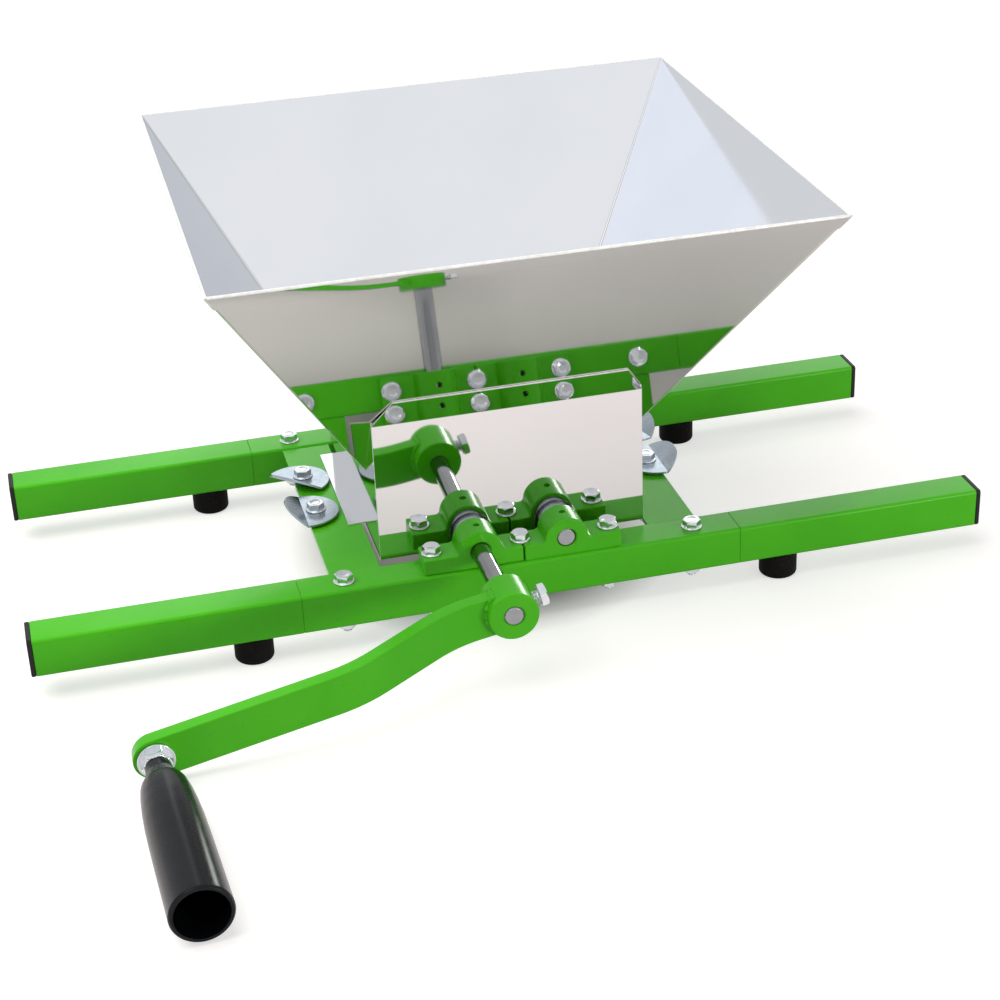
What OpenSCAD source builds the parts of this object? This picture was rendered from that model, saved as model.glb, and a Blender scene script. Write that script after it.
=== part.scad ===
// Hand cranked apple scratter that sits across a tub: a bright sheet hopper over two geared
// shafts of hooked cutters, on a frame of square tube with four arms and rubber feet.
// Millimetres, +Z up, arms along X, crank at the front (-Y).
// The origin is under the middle of the whole part, on the plane of the feet.

/* [Frame] */
// outside width of the square frame tube
tube_size = 25; // [23:0.5:27]
// wall of the square tube
tube_wall = 1.5; // [1.2:0.1:1.8]
// outer corner radius of the square tube
tube_corner = 2; // [1.5:0.1:2.5]
// length of each rail between its arms
rail_length = 276; // [270:2:300]
// clear distance between the two rails
rail_gap = 179; // [178:0.5:186]
// length of the visible part of each arm, without its end cap
arm_reach = 159; // [130:0.5:190]
// length of the spigot that each arm puts into its rail
spigot_length = 45; // [40:1:50]
// play on each side of the spigot
spigot_play = 0.2; // [0.1:0.05:0.3]
// distance of the arm clamping bolts from the joint of rail and arm
arm_bolt_inset = 27.8; // [24:0.2:30]
// thickness of the flange of an arm end cap
cap_flange = 3; // [2:0.25:4]
// length of the cap inside the arm
cap_plug = 18; // [12:1:30]
// height of the rubber feet
foot_height = 17; // [15:0.5:22]
// diameter of the rubber feet
foot_d = 24; // [20:1:25]
// rounding of the lower edge of the feet
foot_round = 2.5; // [1:0.5:3]
// distance of the feet from the joint of rail and arm
foot_offset = 30; // [26:1:60]
// thickness of the two base plates
plate_thickness = 3; // [2.5:0.25:4]
// drop of the base plates below the rail tops
plate_drop = 1; // [0.5:0.25:2]
// width of each base plate
plate_width = 31.5; // [31:0.5:34]
// clear width between the base plates
opening_width = 171; // [170.5:0.5:173]

/* [Bearing blocks] */
// length of one block from its seam to its end
block_length = 61.5; // [61:0.5:64]
// gap between the two blocks of a pair
block_gap = 1; // [0.6:0.2:2]
// depth of a block along the shafts
block_depth = 20; // [18:0.5:22]
// height of the foot of a block
block_base = 10; // [9:0.5:10.5]
// diameter of the boss of a block
boss_d = 27; // [25:0.5:29]
// fillet between boss and foot
block_fillet = 2.5; // [1.5:0.5:3]
// distance of the outer block bolts from the seam
block_bolt_offset = 55.5; // [54:0.5:56]
// height of the shafts above the rails
axle_rise = 11; // [11:0.5:13]
// distance between the two shafts
axle_spacing = 54; // [53:0.5:55]
// diameter of the oil holes on the bosses
oil_hole_d = 4; // [3:0.5:5]
// countersink at the mouths of the shaft bores
bore_chamfer = 0.8; // [0.5:0.1:1.2]
// depth of the recess that takes the end of a bush
recess_depth = 3; // [2:0.5:4]

/* [Hopper] */
// outside width of the rim
rim_width = 360; // [330:2:390]
// outside depth of the rim, front to back
rim_depth = 336; // [320:2:350]
// height of the rim above the floor
rim_height = 260; // [240:2:280]
// outside width of the neck
neck_width = 168; // [166:0.5:169]
// height at which the funnel meets the neck
neck_height = 88; // [86:1:92]
// reach of the front funnel wall at neck height
funnel_front_reach = 52; // [50:0.5:54]
// reach of the neck wall in front of the cutters
throat_reach = 33; // [32:0.5:35]
// reach of the front panel and of the rear wall
neck_reach = 85; // [84.5:0.5:87]
// drop of the bend of the front panel below the funnel
panel_gap = 2.4; // [2:0.2:5]
// height of the lower edge of the front panel
panel_bottom = 43; // [42:0.5:45]
// height of the flange that leans on the funnel
flange_rise = 19; // [14:1:22]
// slant cut off each end of the flange
flange_slant = 12; // [8:1:16]
// thickness of the hopper sheets
sheet = 1; // [0.8:0.1:1.2]
// width of the hem folded down outside the rim
hem_width = 10; // [6:1:14]
// width of the side tabs that rest on the base plates
tab_width = 10; // [9:0.5:11]
// front end of the side tabs
tab_front = 31; // [28:1:33]
// rear end of the side tabs
tab_rear = 73; // [70:1:78]
// width of the slots that drop over the shafts
slot_width = 26; // [24:0.5:28]

/* [Shafts, gears and cutters] */
// diameter of the shaft journals
shaft_d = 12; // [11:0.5:13]
// width across flats of the hexagon between the journals
hex_flats = 14; // [13.6:0.1:14.6]
// reach of the front face of the crank hub
crank_front_reach = 192.5; // [188:0.5:200]
// length of shaft that shows beyond a block
shaft_tail = 1; // [0.5:0.5:3]
// chamfer on the shaft ends
shaft_chamfer = 0.8; // [0.5:0.1:1.2]
// radial running clearance of shafts and grip
running_play = 0.05; // [0.02:0.01:0.08]
// number of teeth on each gear
gear_teeth = 18; // [16:1:20]
// width of the gears
gear_width = 14; // [10:1:15]
// reach of the front face of the gears
gear_reach = 80; // [79:0.5:81]
// gap beside each gear tooth at the pitch line
gear_backlash = 0.3; // [0.25:0.05:0.4]
// outside diameter of the cutters
cutter_d = 76; // [68:1:80]
// diameter at the roots of the hooked teeth
cutter_root_d = 36; // [34:1:40]
// thickness of a cutter
cutter_thickness = 3; // [2:0.5:4]
// distance between the cutters of one shaft
cutter_pitch = 15; // [14:0.5:15]
// number of hooked teeth on a cutter
cutter_teeth = 6; // [4:1:8]
// position of the middle of the set of cutters
cutter_middle = 22; // [20:0.5:23]
// rear end of the hexagon on the shafts
hex_rear = 76; // [75:0.5:78]
// outside diameter of spacers and bushes
spacer_d = 20; // [19:0.5:21]

/* [Crank] */
// length of the crank from shaft to grip
crank_length = 215; // [195:5:235]
// width of the crank bar
bar_width = 25; // [22:1:28]
// thickness of the crank bar
bar_thickness = 9; // [7:0.5:10]
// reach of the middle of the bar at the hub
bar_reach = 181.5; // [180:0.5:183]
// distance from the shaft at which the bar bends outwards
bend_start = 36; // [32:1:42]
// distance from the shaft at which the bar straightens
bend_end = 97; // [90:1:104]
// distance that the bend carries the bar outwards
bend_depth = 29; // [25:1:33]
// run over which each bend of the bar turns, to either side
bend_run = 15; // [8:1:18]
// angle by which the outer part leans away
bar_splay = 3; // [1:0.5:4]
// diameter of the hub
hub_d = 30; // [28:1:32]
// length of the hub
hub_length = 25; // [22:1:26]
// diameter of the grip
grip_d = 34; // [30:1:36]
// length of the grip
grip_length = 134.5; // [110:0.5:150]
// diameter of the bore at the end of the grip
grip_bore_d = 29; // [24:1:29]
// length of the neck that turns on the spindle
grip_neck = 16; // [12:1:20]
// gap under the resting grip
floor_gap = 0.3; // [0.2:0.1:1]

/* [Swivel clips] */
// reach of the clip bolts from the middle
clip_reach = 110.8; // [110:0.2:112]
// position of the front clip bolts
clip_front = -8; // [-10:1:-6]
// position of the rear clip bolts
clip_rear = 41.5; // [40:0.5:45]
// thickness of a clip
clip_thickness = 1.5; // [1:0.25:2]
// thickness of the washer under a clip
washer_thickness = 1.4; // [1.2:0.1:1.8]
// diameter of the washer under a clip
washer_d = 12.5; // [12:0.5:14]
// radius of the flat part of a clip
clip_radius = 21; // [18:0.5:21.5]
// distance from the bolt to the fold
clip_fold = 8.5; // [8:0.5:9]
// length of the folded flap
clip_flap = 14; // [10:1:15]
// angle of the folded flap
clip_fold_angle = 35; // [25:1:45]
// resting turn of the left rear clip
clip_turn_left_rear = 45; // [30:5:60]
// resting turn of the right rear clip
clip_turn_right_rear = 15; // [0:5:30]

/* [Fasteners] */
// diameter of the frame bolts
bolt_d = 6; // [5:0.5:6]
// width across flats of the frame bolts and nuts
bolt_flats = 10; // [9:0.5:11]
// height of a frame bolt head with its flange
bolt_head = 5.2; // [4:0.2:6]
// diameter of the flange of a frame bolt
bolt_flange_d = 13; // [12:0.5:14]
// thickness of the flange of a frame bolt
bolt_flange = 1.2; // [1:0.1:1.6]
// length of bolt below a nut
bolt_tail = 2.4; // [1:0.2:3]
// height of the hexagon of a nut
nut_height = 5; // [4:0.5:6]
// height of the collar of a nut
nut_collar = 1.2; // [0.8:0.2:1.6]
// clearance around a bolt
bolt_play = 0.3; // [0.2:0.05:0.4]
// diameter of the foot screws
screw_d = 5; // [4:0.5:5]
// diameter of the head of the foot screws
screw_head_d = 9.5; // [8:0.5:10]
// height of the head of the foot screws
screw_head = 3; // [2:0.5:3.5]
// diameter of the set bolt of the crank
set_bolt_d = 8; // [6:1:8]
// width across flats of the set bolt
set_bolt_flats = 13; // [11:1:14]
// height of the head of the set bolt
set_bolt_head = 5.3; // [4:0.1:6]
// gap under the head of the set bolt
set_bolt_gap = 2.5; // [1.5:0.5:4]
// diameter of the grip spindle
spindle_d = 10; // [9:0.5:11]
// width across flats of the spindle nut
spindle_flats = 16; // [15:1:17]
// height of the spindle nut
spindle_nut = 9; // [8:0.5:10]
// diameter of the flange of the spindle nut
spindle_flange_d = 21.5; // [20:0.5:23]
// thickness of the flange of the spindle nut
spindle_flange = 2.2; // [1.5:0.1:3]
// height of the spindle head inside the grip
spindle_head = 6.4; // [5:0.2:7]

/* [Hidden] */
$fn = 48;
overrun = 1;
bend_steps = 6;
weld_bite = 0.4;
hex_play = 0.05;
end_play = 0.3;
half = 1 / 2;

rail_middle = (rail_gap + tube_size) * half;
rail_top = foot_height + tube_size;
arm_seam = rail_length * half;
arm_bolt_reach = arm_seam - arm_bolt_inset;
arm_tip = arm_seam + arm_reach;
foot_x = arm_seam + foot_offset;
tube_bore = tube_size - 2 * tube_wall;
spigot_size = tube_bore - 2 * spigot_play;
spigot_wall = tube_wall;
plate_top = rail_top - plate_drop;
plate_inner = opening_width * half;
plate_outer = plate_inner + plate_width;
screw_grip = tube_wall + spigot_play + spigot_wall;
bolt_r = bolt_d * half;
bolt_hole_r = bolt_r + bolt_play;
head_chamfer = bolt_head / 6;

shaft_z = rail_top + axle_rise;
axle_x = axle_spacing * half;
shaft_r = shaft_d * half;
bore_r = shaft_r + running_play;
block_front = rail_middle + block_depth * half;
block_back = rail_middle - block_depth * half;
block_inner = block_gap * half;
block_end = block_inner + block_length;
recess_r = spacer_d * half + 0.7 * bolt_flange;
boss_r = boss_d * half;
fillet_x = sqrt(pow(boss_r + block_fillet, 2) - pow(block_base + block_fillet - axle_rise, 2));

rim_x = rim_width * half;
rim_y = rim_depth * half;
neck_x = neck_width * half;
funnel_slope = (rim_y - funnel_front_reach) / (rim_height - neck_height);
throat_height = neck_height - (funnel_front_reach - throat_reach) / funnel_slope;
front_line = [[-rim_y, rim_height], [-funnel_front_reach, neck_height],
    [-throat_reach, throat_height], [-throat_reach, plate_top]];
rear_line = [[rim_y, rim_height], [neck_reach, neck_height], [neck_reach, plate_top]];
side_line = [[rim_x, rim_height], [neck_x, neck_height], [neck_x, plate_top]];
rim_over_share = -0.03;
panel_seat = neck_reach - sheet;
slope_at_panel = neck_height + (panel_seat - funnel_front_reach) / funnel_slope;
panel_height = slope_at_panel - panel_gap;
flange_tip_y = funnel_front_reach + (panel_height + flange_rise - neck_height) * funnel_slope;
panel_line = [[-panel_seat, panel_bottom], [-panel_seat, panel_height],
    [-flange_tip_y - running_play, panel_height + flange_rise]];

hex_r = hex_flats / sqrt(3);
hex_bore_r = (hex_flats + 2 * hex_play) / sqrt(3);
gear_back = gear_reach - gear_width;
gear_module = axle_spacing / gear_teeth;
gear_pitch_r = axle_x;
gear_base_r = gear_pitch_r * cos(20);
gear_tip_r = gear_pitch_r + 0.95 * gear_module;
gear_root_r = gear_pitch_r - 1.25 * gear_module;
gear_half_angle = 90 / gear_teeth - gear_backlash * half * 180 / (PI * gear_pitch_r);
// the drive shaft carries seven cutters and the other shaft six
cutter_count = 7;
cutter_r = cutter_d * half;
cutter_root_r = cutter_root_d * half;
cutter_first = cutter_middle - (cutter_count - 1) * half * cutter_pitch;
cutter_twist = 360 / cutter_teeth / cutter_count;
cutter_angle_shares = [0.16, 0, 0.06, 0.3, 0.52, 0.72, 0.9];
cutter_radius_shares = [0.08, 1, 1, 0.84, 0.6, 0.32, 0.06];
shaft_back = block_front + shaft_tail;

grip_r = grip_d * half;
crank_rest = asin((shaft_z - grip_r - floor_gap) / crank_length);
bar_half = bar_thickness * half;
hub_back = crank_front_reach - hub_length;
bend_reach = bar_reach + bend_depth;
grip_reach = bend_reach + (crank_length - bend_end) * tan(bar_splay);
bar_end = crank_length + bar_width;
bar_end_reach = bend_reach + (bar_end - bend_end) * tan(bar_splay);
bar_line = [[0, -bar_reach], [bend_start, -bar_reach], [bend_end, -bend_reach],
    [bar_end, -bar_end_reach]];
grip_start = bar_half + spindle_nut + end_play;
grip_end = grip_start + grip_length;
grip_length_shares = [0, 0.05, 0.095, 0.14, 0.16, 0.22, 0.3, 0.4, 0.52, 0.68, 0.85, 0.99, 1];
grip_radius_shares = [0.44, 0.47, 0.6, 0.74, 0.785, 0.85, 0.905, 0.945, 0.965, 0.98, 0.99, 1, 0.95];
dimple_depth = 0.5 * shaft_chamfer;

clip_z = plate_top + washer_thickness;
clip_centre = clip_fold - clip_radius * 0.1;
flap_chord = sqrt(pow(clip_radius, 2) - pow(clip_radius * 0.1, 2));
flap_radius = (pow(flap_chord, 2) + pow(clip_flap, 2)) / (2 * clip_flap);

front_extent = grip_reach + grip_end * cos(bar_splay)
    + grip_r * grip_radius_shares[12] * sin(bar_splay);
rear_slope = (rim_y - neck_reach) / (rim_height - neck_height);
rear_extent = rim_y + sheet * (rear_slope + sqrt(1 + pow(rear_slope, 2)));
y_shift = (front_extent - rear_extent) * half;

// left-hand normal of a direction in the plane
function left_normal(v) = [-v[1], v[0]] / norm(v);
// direction of a mitred corner, long enough to keep the thickness
function mitre(a, b, c) = let (n = left_normal(b - a), m = left_normal(c - b)) (n + m) / (1 + n * m);
// a line whose inner corners are rounded over a run to each side
function bent(p, run, steps) = concat([p[0]], [for (i = [1 : len(p) - 2], k = [0 : steps])
    let (a = p[i] + run * (p[i - 1] - p[i]) / norm(p[i - 1] - p[i]),
        b = p[i] + run * (p[i + 1] - p[i]) / norm(p[i + 1] - p[i]), t = k / steps)
        pow(1 - t, 2) * a + 2 * t * (1 - t) * p[i] + pow(t, 2) * b], [p[len(p) - 1]]);
// a line of points moved sideways by a distance
function beside(p, d) = [for (i = [0 : len(p) - 1])
    p[i] + d * (i == 0 ? left_normal(p[1] - p[0])
        : i == len(p) - 1 ? left_normal(p[i] - p[i - 1])
        : mitre(p[i - 1], p[i], p[i + 1]))];
function backwards(p) = [for (i = [len(p) - 1 : -1 : 0]) p[i]];
// outline of a strip between two distances beside a line
function strip(p, d0, d1) = concat(beside(p, d0), backwards(beside(p, d1)));
// one stretch of a sheet that is folded along a line, with mitred ends
function leaf(p, d, i) = let (q = beside(p, d)) [p[i], p[i + 1], q[i + 1], q[i]];
// the same line with its first point moved along the first stretch
function stretched(p, share) = concat([p[0] + share * (p[1] - p[0])], [for (i = [1 : len(p) - 1]) p[i]]);
// the first stretch of a line, up to a length
function start_of(p, length) = [p[0], p[0] + length * (p[1] - p[0]) / norm(p[1] - p[0])];

module placed() {
    translate([0, y_shift, 0]) children();
}

// turns a profile drawn in Y and Z into a bar across X
module along_x(length) {
    rotate([90, 0, 90]) linear_extrude(length, center = true) children();
}

// turns a profile drawn in X and Z into a bar from one Y to another
module between_y(y0, y1) {
    translate([0, y1, 0]) rotate([90, 0, 0]) linear_extrude(y1 - y0) children();
}

module rod_y(r, y0, y1) {
    translate([0, y1, 0]) rotate([90, 0, 0]) cylinder(r = r, h = y1 - y0);
}

module rounded_square(size, r) {
    square([size - 2 * r, size], center = true);
    square([size, size - 2 * r], center = true);
    for (i = [-1, 1], j = [-1, 1])
        translate([i * (size * half - r), j * (size * half - r)]) circle(r);
}

module tube_profile(size, wall, corner) {
    difference() {
        rounded_square(size, corner);
        rounded_square(size - 2 * wall, max(corner - wall, corner * 0.2));
    }
}

// fasteners are drawn with their seat at height zero
module hex_head(flats, height, flange_d, flange_height, chamfer) {
    corner_r = flats / sqrt(3);
    cylinder(d = flange_d, h = flange_height);
    intersection() {
        cylinder(r = corner_r, h = height, $fn = 6);
        union() {
            cylinder(r = corner_r, h = height - chamfer);
            translate([0, 0, height - chamfer])
                cylinder(r1 = corner_r, r2 = corner_r - 1.6 * chamfer, h = chamfer);
        }
    }
}

module frame_bolt(length) {
    hex_head(bolt_flats, bolt_head, bolt_flange_d, bolt_flange, head_chamfer);
    translate([0, 0, -length]) cylinder(r = bolt_r, h = length + bolt_flange);
}

module frame_nut() {
    difference() {
        union() {
            translate([0, 0, -nut_height]) cylinder(r = bolt_flats / sqrt(3), h = nut_height, $fn = 6);
            translate([0, 0, -nut_height - nut_collar])
                cylinder(d = bolt_flats * 0.92, h = nut_height + nut_collar);
        }
        translate([0, 0, -nut_height - nut_collar - overrun])
            cylinder(r = bolt_r + running_play, h = nut_height + nut_collar + 2 * overrun);
    }
}

module block_bolt_spots() {
    for (side = [-1, 1], i = [-1, 0, 1])
        translate([i * block_bolt_offset, side * rail_middle, 0]) children();
}

module arm_bolt_spots() {
    for (side = [-1, 1], i = [-1, 1])
        translate([i * arm_bolt_reach, side * rail_middle, 0]) children();
}

module clip_spots() {
    for (side = [-1, 1], y = [clip_front, clip_rear])
        translate([side * clip_reach, y, 0]) children();
}

// frame
module rail(side) {
    difference() {
        translate([0, side * rail_middle, foot_height + tube_size * half])
            along_x(rail_length) tube_profile(tube_size, tube_wall, tube_corner);
        translate([0, 0, foot_height - overrun]) {
            block_bolt_spots() cylinder(r = bolt_hole_r, h = tube_size + 2 * overrun);
            arm_bolt_spots() cylinder(r = bolt_hole_r, h = tube_size + 2 * overrun);
        }
    }
}

module base_plate(side) {
    difference() {
        translate([side * (plate_inner + plate_outer) * half, 0, plate_top - plate_thickness * half])
            cube([plate_width, rail_gap, plate_thickness], center = true);
        translate([0, 0, plate_top - plate_thickness - overrun])
            clip_spots() cylinder(r = bolt_hole_r, h = plate_thickness + 2 * overrun);
    }
}

module arm(side_x, side_y) {
    difference() {
        translate([0, side_y * rail_middle, foot_height + tube_size * half]) {
            translate([side_x * (arm_seam + arm_reach * half), 0, 0])
                along_x(arm_reach) tube_profile(tube_size, tube_wall, tube_corner);
            translate([side_x * arm_seam, 0, 0])
                along_x(2 * spigot_length) tube_profile(spigot_size, spigot_wall, tube_wall);
            translate([side_x * (arm_seam + tube_size * half), 0, 0])
                along_x(tube_size * half) difference() {
                    square(tube_bore + weld_bite, center = true);
                    square(spigot_size - spigot_wall, center = true);
                }
        }
        translate([0, 0, foot_height - overrun])
            arm_bolt_spots() cylinder(r = bolt_hole_r, h = tube_size + 2 * overrun);
        translate([side_x * foot_x, side_y * rail_middle, foot_height - overrun])
            cylinder(r = screw_d * half + running_play, h = screw_grip + 2 * overrun);
    }
}

module foot() {
    difference() {
        union() {
            translate([0, 0, foot_round]) cylinder(d = foot_d, h = foot_height - foot_round);
            cylinder(r = foot_d * half - foot_round, h = foot_height);
            translate([0, 0, foot_round]) rotate_extrude()
                translate([foot_d * half - foot_round, 0]) circle(foot_round);
        }
        translate([0, 0, -overrun]) cylinder(d = screw_head_d + overrun, h = foot_height * half + overrun);
        cylinder(r = screw_d * half + running_play, h = foot_height + overrun);
    }
}

module foot_screw() {
    translate([0, 0, foot_height * half - screw_head]) cylinder(d = screw_head_d, h = screw_head);
    translate([0, 0, foot_height * half - screw_head])
        cylinder(d = screw_d, h = foot_height * half + screw_head + screw_grip);
}

module foot_spots() {
    for (i = [-1, 1], j = [-1, 1]) translate([i * foot_x, j * rail_middle, 0]) children();
}

module arm_cap(side_x, side_y) {
    translate([0, side_y * rail_middle, foot_height + tube_size * half]) {
        translate([side_x * (arm_tip + cap_flange * half), 0, 0])
            along_x(cap_flange) rounded_square(tube_size, tube_corner);
        translate([side_x * (arm_tip - cap_plug * half + overrun * half), 0, 0])
            along_x(cap_plug + overrun) difference() {
                square(spigot_size, center = true);
                square(spigot_size - 4 * spigot_wall, center = true);
            }
    }
}

// bearing blocks
module block_profile() {
    difference() {
        union() {
            translate([block_inner, 0]) square([block_length, block_base]);
            intersection() {
                translate([axle_x, axle_rise]) circle(boss_r);
                translate([axle_x - boss_r, 0]) square([boss_d, axle_rise + boss_r + overrun]);
            }
            for (i = [-1, 1])
                translate([axle_x, 0]) scale([i, 1]) difference() {
                    polygon([[0, 0], [fillet_x, 0], [fillet_x, block_base + block_fillet], [0, axle_rise]]);
                    translate([fillet_x, block_base + block_fillet]) circle(block_fillet);
                }
        }
        translate([axle_x, axle_rise]) circle(bore_r);
    }
}

// widened mouth of a bore, drawn from its face into the piece
module countersink() {
    cylinder(r1 = bore_r + bore_chamfer, r2 = bore_r, h = bore_chamfer);
}

module block(side_x, side_y) {
    difference() {
        translate([0, 0, rail_top]) scale([side_x, 1, 1])
            between_y(side_y * rail_middle - block_depth * half, side_y * rail_middle + block_depth * half)
                block_profile();
        translate([side_x * axle_x, 0, shaft_z])
            rod_y(recess_r, -block_back - recess_depth, block_back + recess_depth);
        translate([side_x * axle_x, side_y * block_front, shaft_z]) rotate([side_y * 90, 0, 0])
            countersink();
        translate([side_x * axle_x, side_y * rail_middle, shaft_z])
            cylinder(d = oil_hole_d, h = boss_r + overrun);
        translate([0, 0, rail_top - overrun])
            block_bolt_spots() cylinder(r = bolt_hole_r, h = block_base + 2 * overrun);
    }
}

// swivel clips, drawn around their bolt with the flap to the left
module clip_shape() {
    difference() {
        union() {
            linear_extrude(clip_thickness) intersection() {
                translate([-clip_centre, 0]) circle(clip_radius);
                translate([-clip_fold, -clip_radius]) square(2 * clip_radius);
            }
            translate([-clip_fold, 0, 0]) rotate([0, clip_fold_angle, 0])
                linear_extrude(clip_thickness) intersection() {
                    translate([flap_radius - clip_flap, 0]) circle(flap_radius);
                    translate([-clip_flap - overrun, -clip_radius])
                        square([clip_flap + overrun, 2 * clip_radius]);
                }
        }
        translate([0, 0, -overrun]) cylinder(r = bolt_r + running_play, h = clip_thickness + 2 * overrun);
    }
}

module clip(side, y, turn) {
    translate([side * clip_reach, y, clip_z]) rotate([0, 0, turn]) scale([-side, 1, 1])
        clip_shape();
}

module clip_washer() {
    difference() {
        cylinder(d = washer_d, h = washer_thickness);
        translate([0, 0, -overrun]) cylinder(r = bolt_hole_r, h = washer_thickness + 2 * overrun);
    }
}

// hopper sheets: strips across the hopper, trimmed to the outline seen from the other side
module between_sides(inset) {
    line = beside(stretched(side_line, rim_over_share), -inset);
    between_y(-rim_depth, rim_depth)
        polygon(concat(line, backwards([for (q = line) [-q[0], q[1]]])));
}

module slots() {
    for (i = [-1, 1]) translate([i * axle_x, 0]) {
        translate([0, shaft_z]) circle(d = slot_width);
        translate([-slot_width * half, 0]) square([slot_width, shaft_z]);
    }
}

module front_wall_shape() {
    difference() {
        intersection() {
            along_x(2 * rim_width) polygon(strip(front_line, 0, sheet));
            between_sides(sheet);
        }
        between_y(-neck_reach, neck_reach) slots();
    }
    intersection() {
        along_x(2 * rim_width) {
            translate(front_line[0]) circle(sheet);
            polygon(strip(start_of(front_line, hem_width), 0, -sheet));
        }
        between_sides(0);
    }
}

module rear_wall_shape() {
    intersection() {
        along_x(2 * rim_width) polygon(leaf(rear_line, -sheet, 0));
        between_sides(sheet);
    }
    intersection() {
        along_x(2 * rim_width) {
            translate(rear_line[0]) circle(sheet);
            polygon(strip(start_of(rear_line, hem_width), 0, sheet));
        }
        between_sides(0);
    }
}

module rear_panel_shape() {
    difference() {
        intersection() {
            along_x(2 * rim_width) polygon(leaf(rear_line, -sheet, 1));
            between_sides(sheet);
        }
        between_y(-neck_reach, neck_reach + overrun) slots();
    }
}

// outline of a side sheet seen from the side, grown by the thickness of the hems
module side_outline(grow) {
    front = beside(stretched(front_line, rim_over_share), -grow);
    rear = beside(stretched(rear_line, rim_over_share), grow);
    polygon([front[0], front[1], [-panel_seat, neck_height], [-panel_seat, plate_top],
        rear[2], rear[1], rear[0]]);
}

module side_shape() {
    intersection() {
        between_y(-rim_depth, rim_depth) polygon(leaf(side_line, -sheet, 0));
        along_x(2 * rim_width) side_outline(0);
    }
    intersection() {
        between_y(-rim_depth, rim_depth) {
            translate(side_line[0]) circle(sheet);
            polygon(strip(start_of(side_line, hem_width), 0, sheet));
        }
        along_x(2 * rim_width) side_outline(sheet);
    }
}

// neck plate with the ear that closes the gap to the front panel and the folded tab
module neck_plate_shape() {
    intersection() {
        between_y(-rim_depth, rim_depth) polygon(leaf(side_line, -sheet, 1));
        along_x(2 * rim_width) side_outline(0);
    }
    translate([neck_x - sheet * half, 0, 0]) along_x(sheet)
        polygon([[-funnel_front_reach, neck_height], [-funnel_front_reach, neck_height - sheet],
            [-panel_seat, neck_height - sheet], [-panel_seat, slope_at_panel]]);
    translate([neck_x - sheet, -tab_front, plate_top])
        cube([tab_width + sheet, tab_front + tab_rear, sheet]);
}

module panel_shape() {
    tip = panel_height + flange_rise;
    difference() {
        intersection() {
            along_x(2 * neck_width) polygon(strip(panel_line, 0, sheet));
            between_y(-rim_depth, 0) polygon([[-neck_x, 0], [neck_x, 0], [neck_x, panel_height],
                [neck_x - flange_slant, tip], [neck_x - flange_slant, tip + flange_rise],
                [flange_slant - neck_x, tip + flange_rise], [flange_slant - neck_x, tip],
                [-neck_x, panel_height]]);
        }
        between_y(-rim_depth, 0) slots();
    }
}

// shafts, gears, spacers and cutters, drawn around the axis
module shaft_shape(front) {
    rod_y(shaft_r - shaft_chamfer, -front, shaft_back);
    rod_y(shaft_r, -front + shaft_chamfer, shaft_back - shaft_chamfer);
    between_y(-gear_reach, hex_rear) circle(hex_r, $fn = 6);
    for (end = [0, 1])
        translate([0, end == 0 ? -front + shaft_chamfer : shaft_back, 0]) rotate([90, 0, 0])
            cylinder(r1 = end == 0 ? shaft_r : shaft_r - shaft_chamfer,
                r2 = end == 0 ? shaft_r - shaft_chamfer : shaft_r, h = shaft_chamfer);
}

function involute_spread(r) = let (roll = sqrt(pow(r / gear_base_r, 2) - 1)) roll * 180 / PI - atan(roll);
function flank(i, steps) = let (r = gear_base_r + (gear_tip_r - gear_base_r) * i / steps)
    [r, gear_half_angle + involute_spread(gear_pitch_r) - involute_spread(r)];
function around(r, a) = [r * cos(a), r * sin(a)];
function tooth(middle, steps) = concat(
    [around(gear_root_r, middle - flank(0, steps)[1])],
    [for (i = [0 : steps]) around(flank(i, steps)[0], middle - flank(i, steps)[1])],
    [for (i = [steps : -1 : 0]) around(flank(i, steps)[0], middle + flank(i, steps)[1])],
    [around(gear_root_r, middle + flank(0, steps)[1])]);
function flattened(lists) = [for (a = lists) for (b = a) b];

module gear_shape(start) {
    between_y(-gear_reach, -gear_back) difference() {
        polygon(flattened([for (k = [0 : gear_teeth - 1]) tooth(start + k * 360 / gear_teeth, 5)]));
        circle(hex_bore_r, $fn = 6);
    }
}

function hook(k) = [for (i = [0 : len(cutter_angle_shares) - 1])
    around(cutter_root_r + (cutter_r - cutter_root_r) * cutter_radius_shares[i],
        (k + cutter_angle_shares[i]) * 360 / cutter_teeth)];

module cutter_shape(turn) {
    difference() {
        rotate(turn) polygon(flattened([for (k = [0 : cutter_teeth - 1]) hook(k)]));
        circle(hex_bore_r, $fn = 6);
    }
}

module drive_cutter(i) {
    y = cutter_first + i * cutter_pitch;
    color("silver") placed() translate([-axle_x, 0, shaft_z])
        between_y(y - cutter_thickness * half, y + cutter_thickness * half)
            cutter_shape(i * cutter_twist);
}

module driven_cutter(i) {
    y = cutter_first + (i + half) * cutter_pitch;
    color("silver") placed() translate([axle_x, 0, shaft_z])
        between_y(y - cutter_thickness * half, y + cutter_thickness * half)
            mirror([1, 0]) cutter_shape((i + half) * cutter_twist);
}

module hex_spacer(y0, y1) {
    between_y(y0, y1) difference() {
        circle(d = spacer_d);
        circle(hex_bore_r, $fn = 6);
    }
}

// spacers before, between and after a set of cutters
module spacer_set(first, count) {
    last = first + (count - 1) * cutter_pitch;
    hex_spacer(-gear_back, first - cutter_thickness * half);
    for (i = [0 : count - 2])
        hex_spacer(first + i * cutter_pitch + cutter_thickness * half,
            first + (i + 1) * cutter_pitch - cutter_thickness * half);
    hex_spacer(last + cutter_thickness * half, hex_rear);
}

module round_bush(y0, y1) {
    between_y(y0, y1) difference() {
        circle(d = spacer_d);
        circle(shaft_r + running_play);
    }
}

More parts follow.
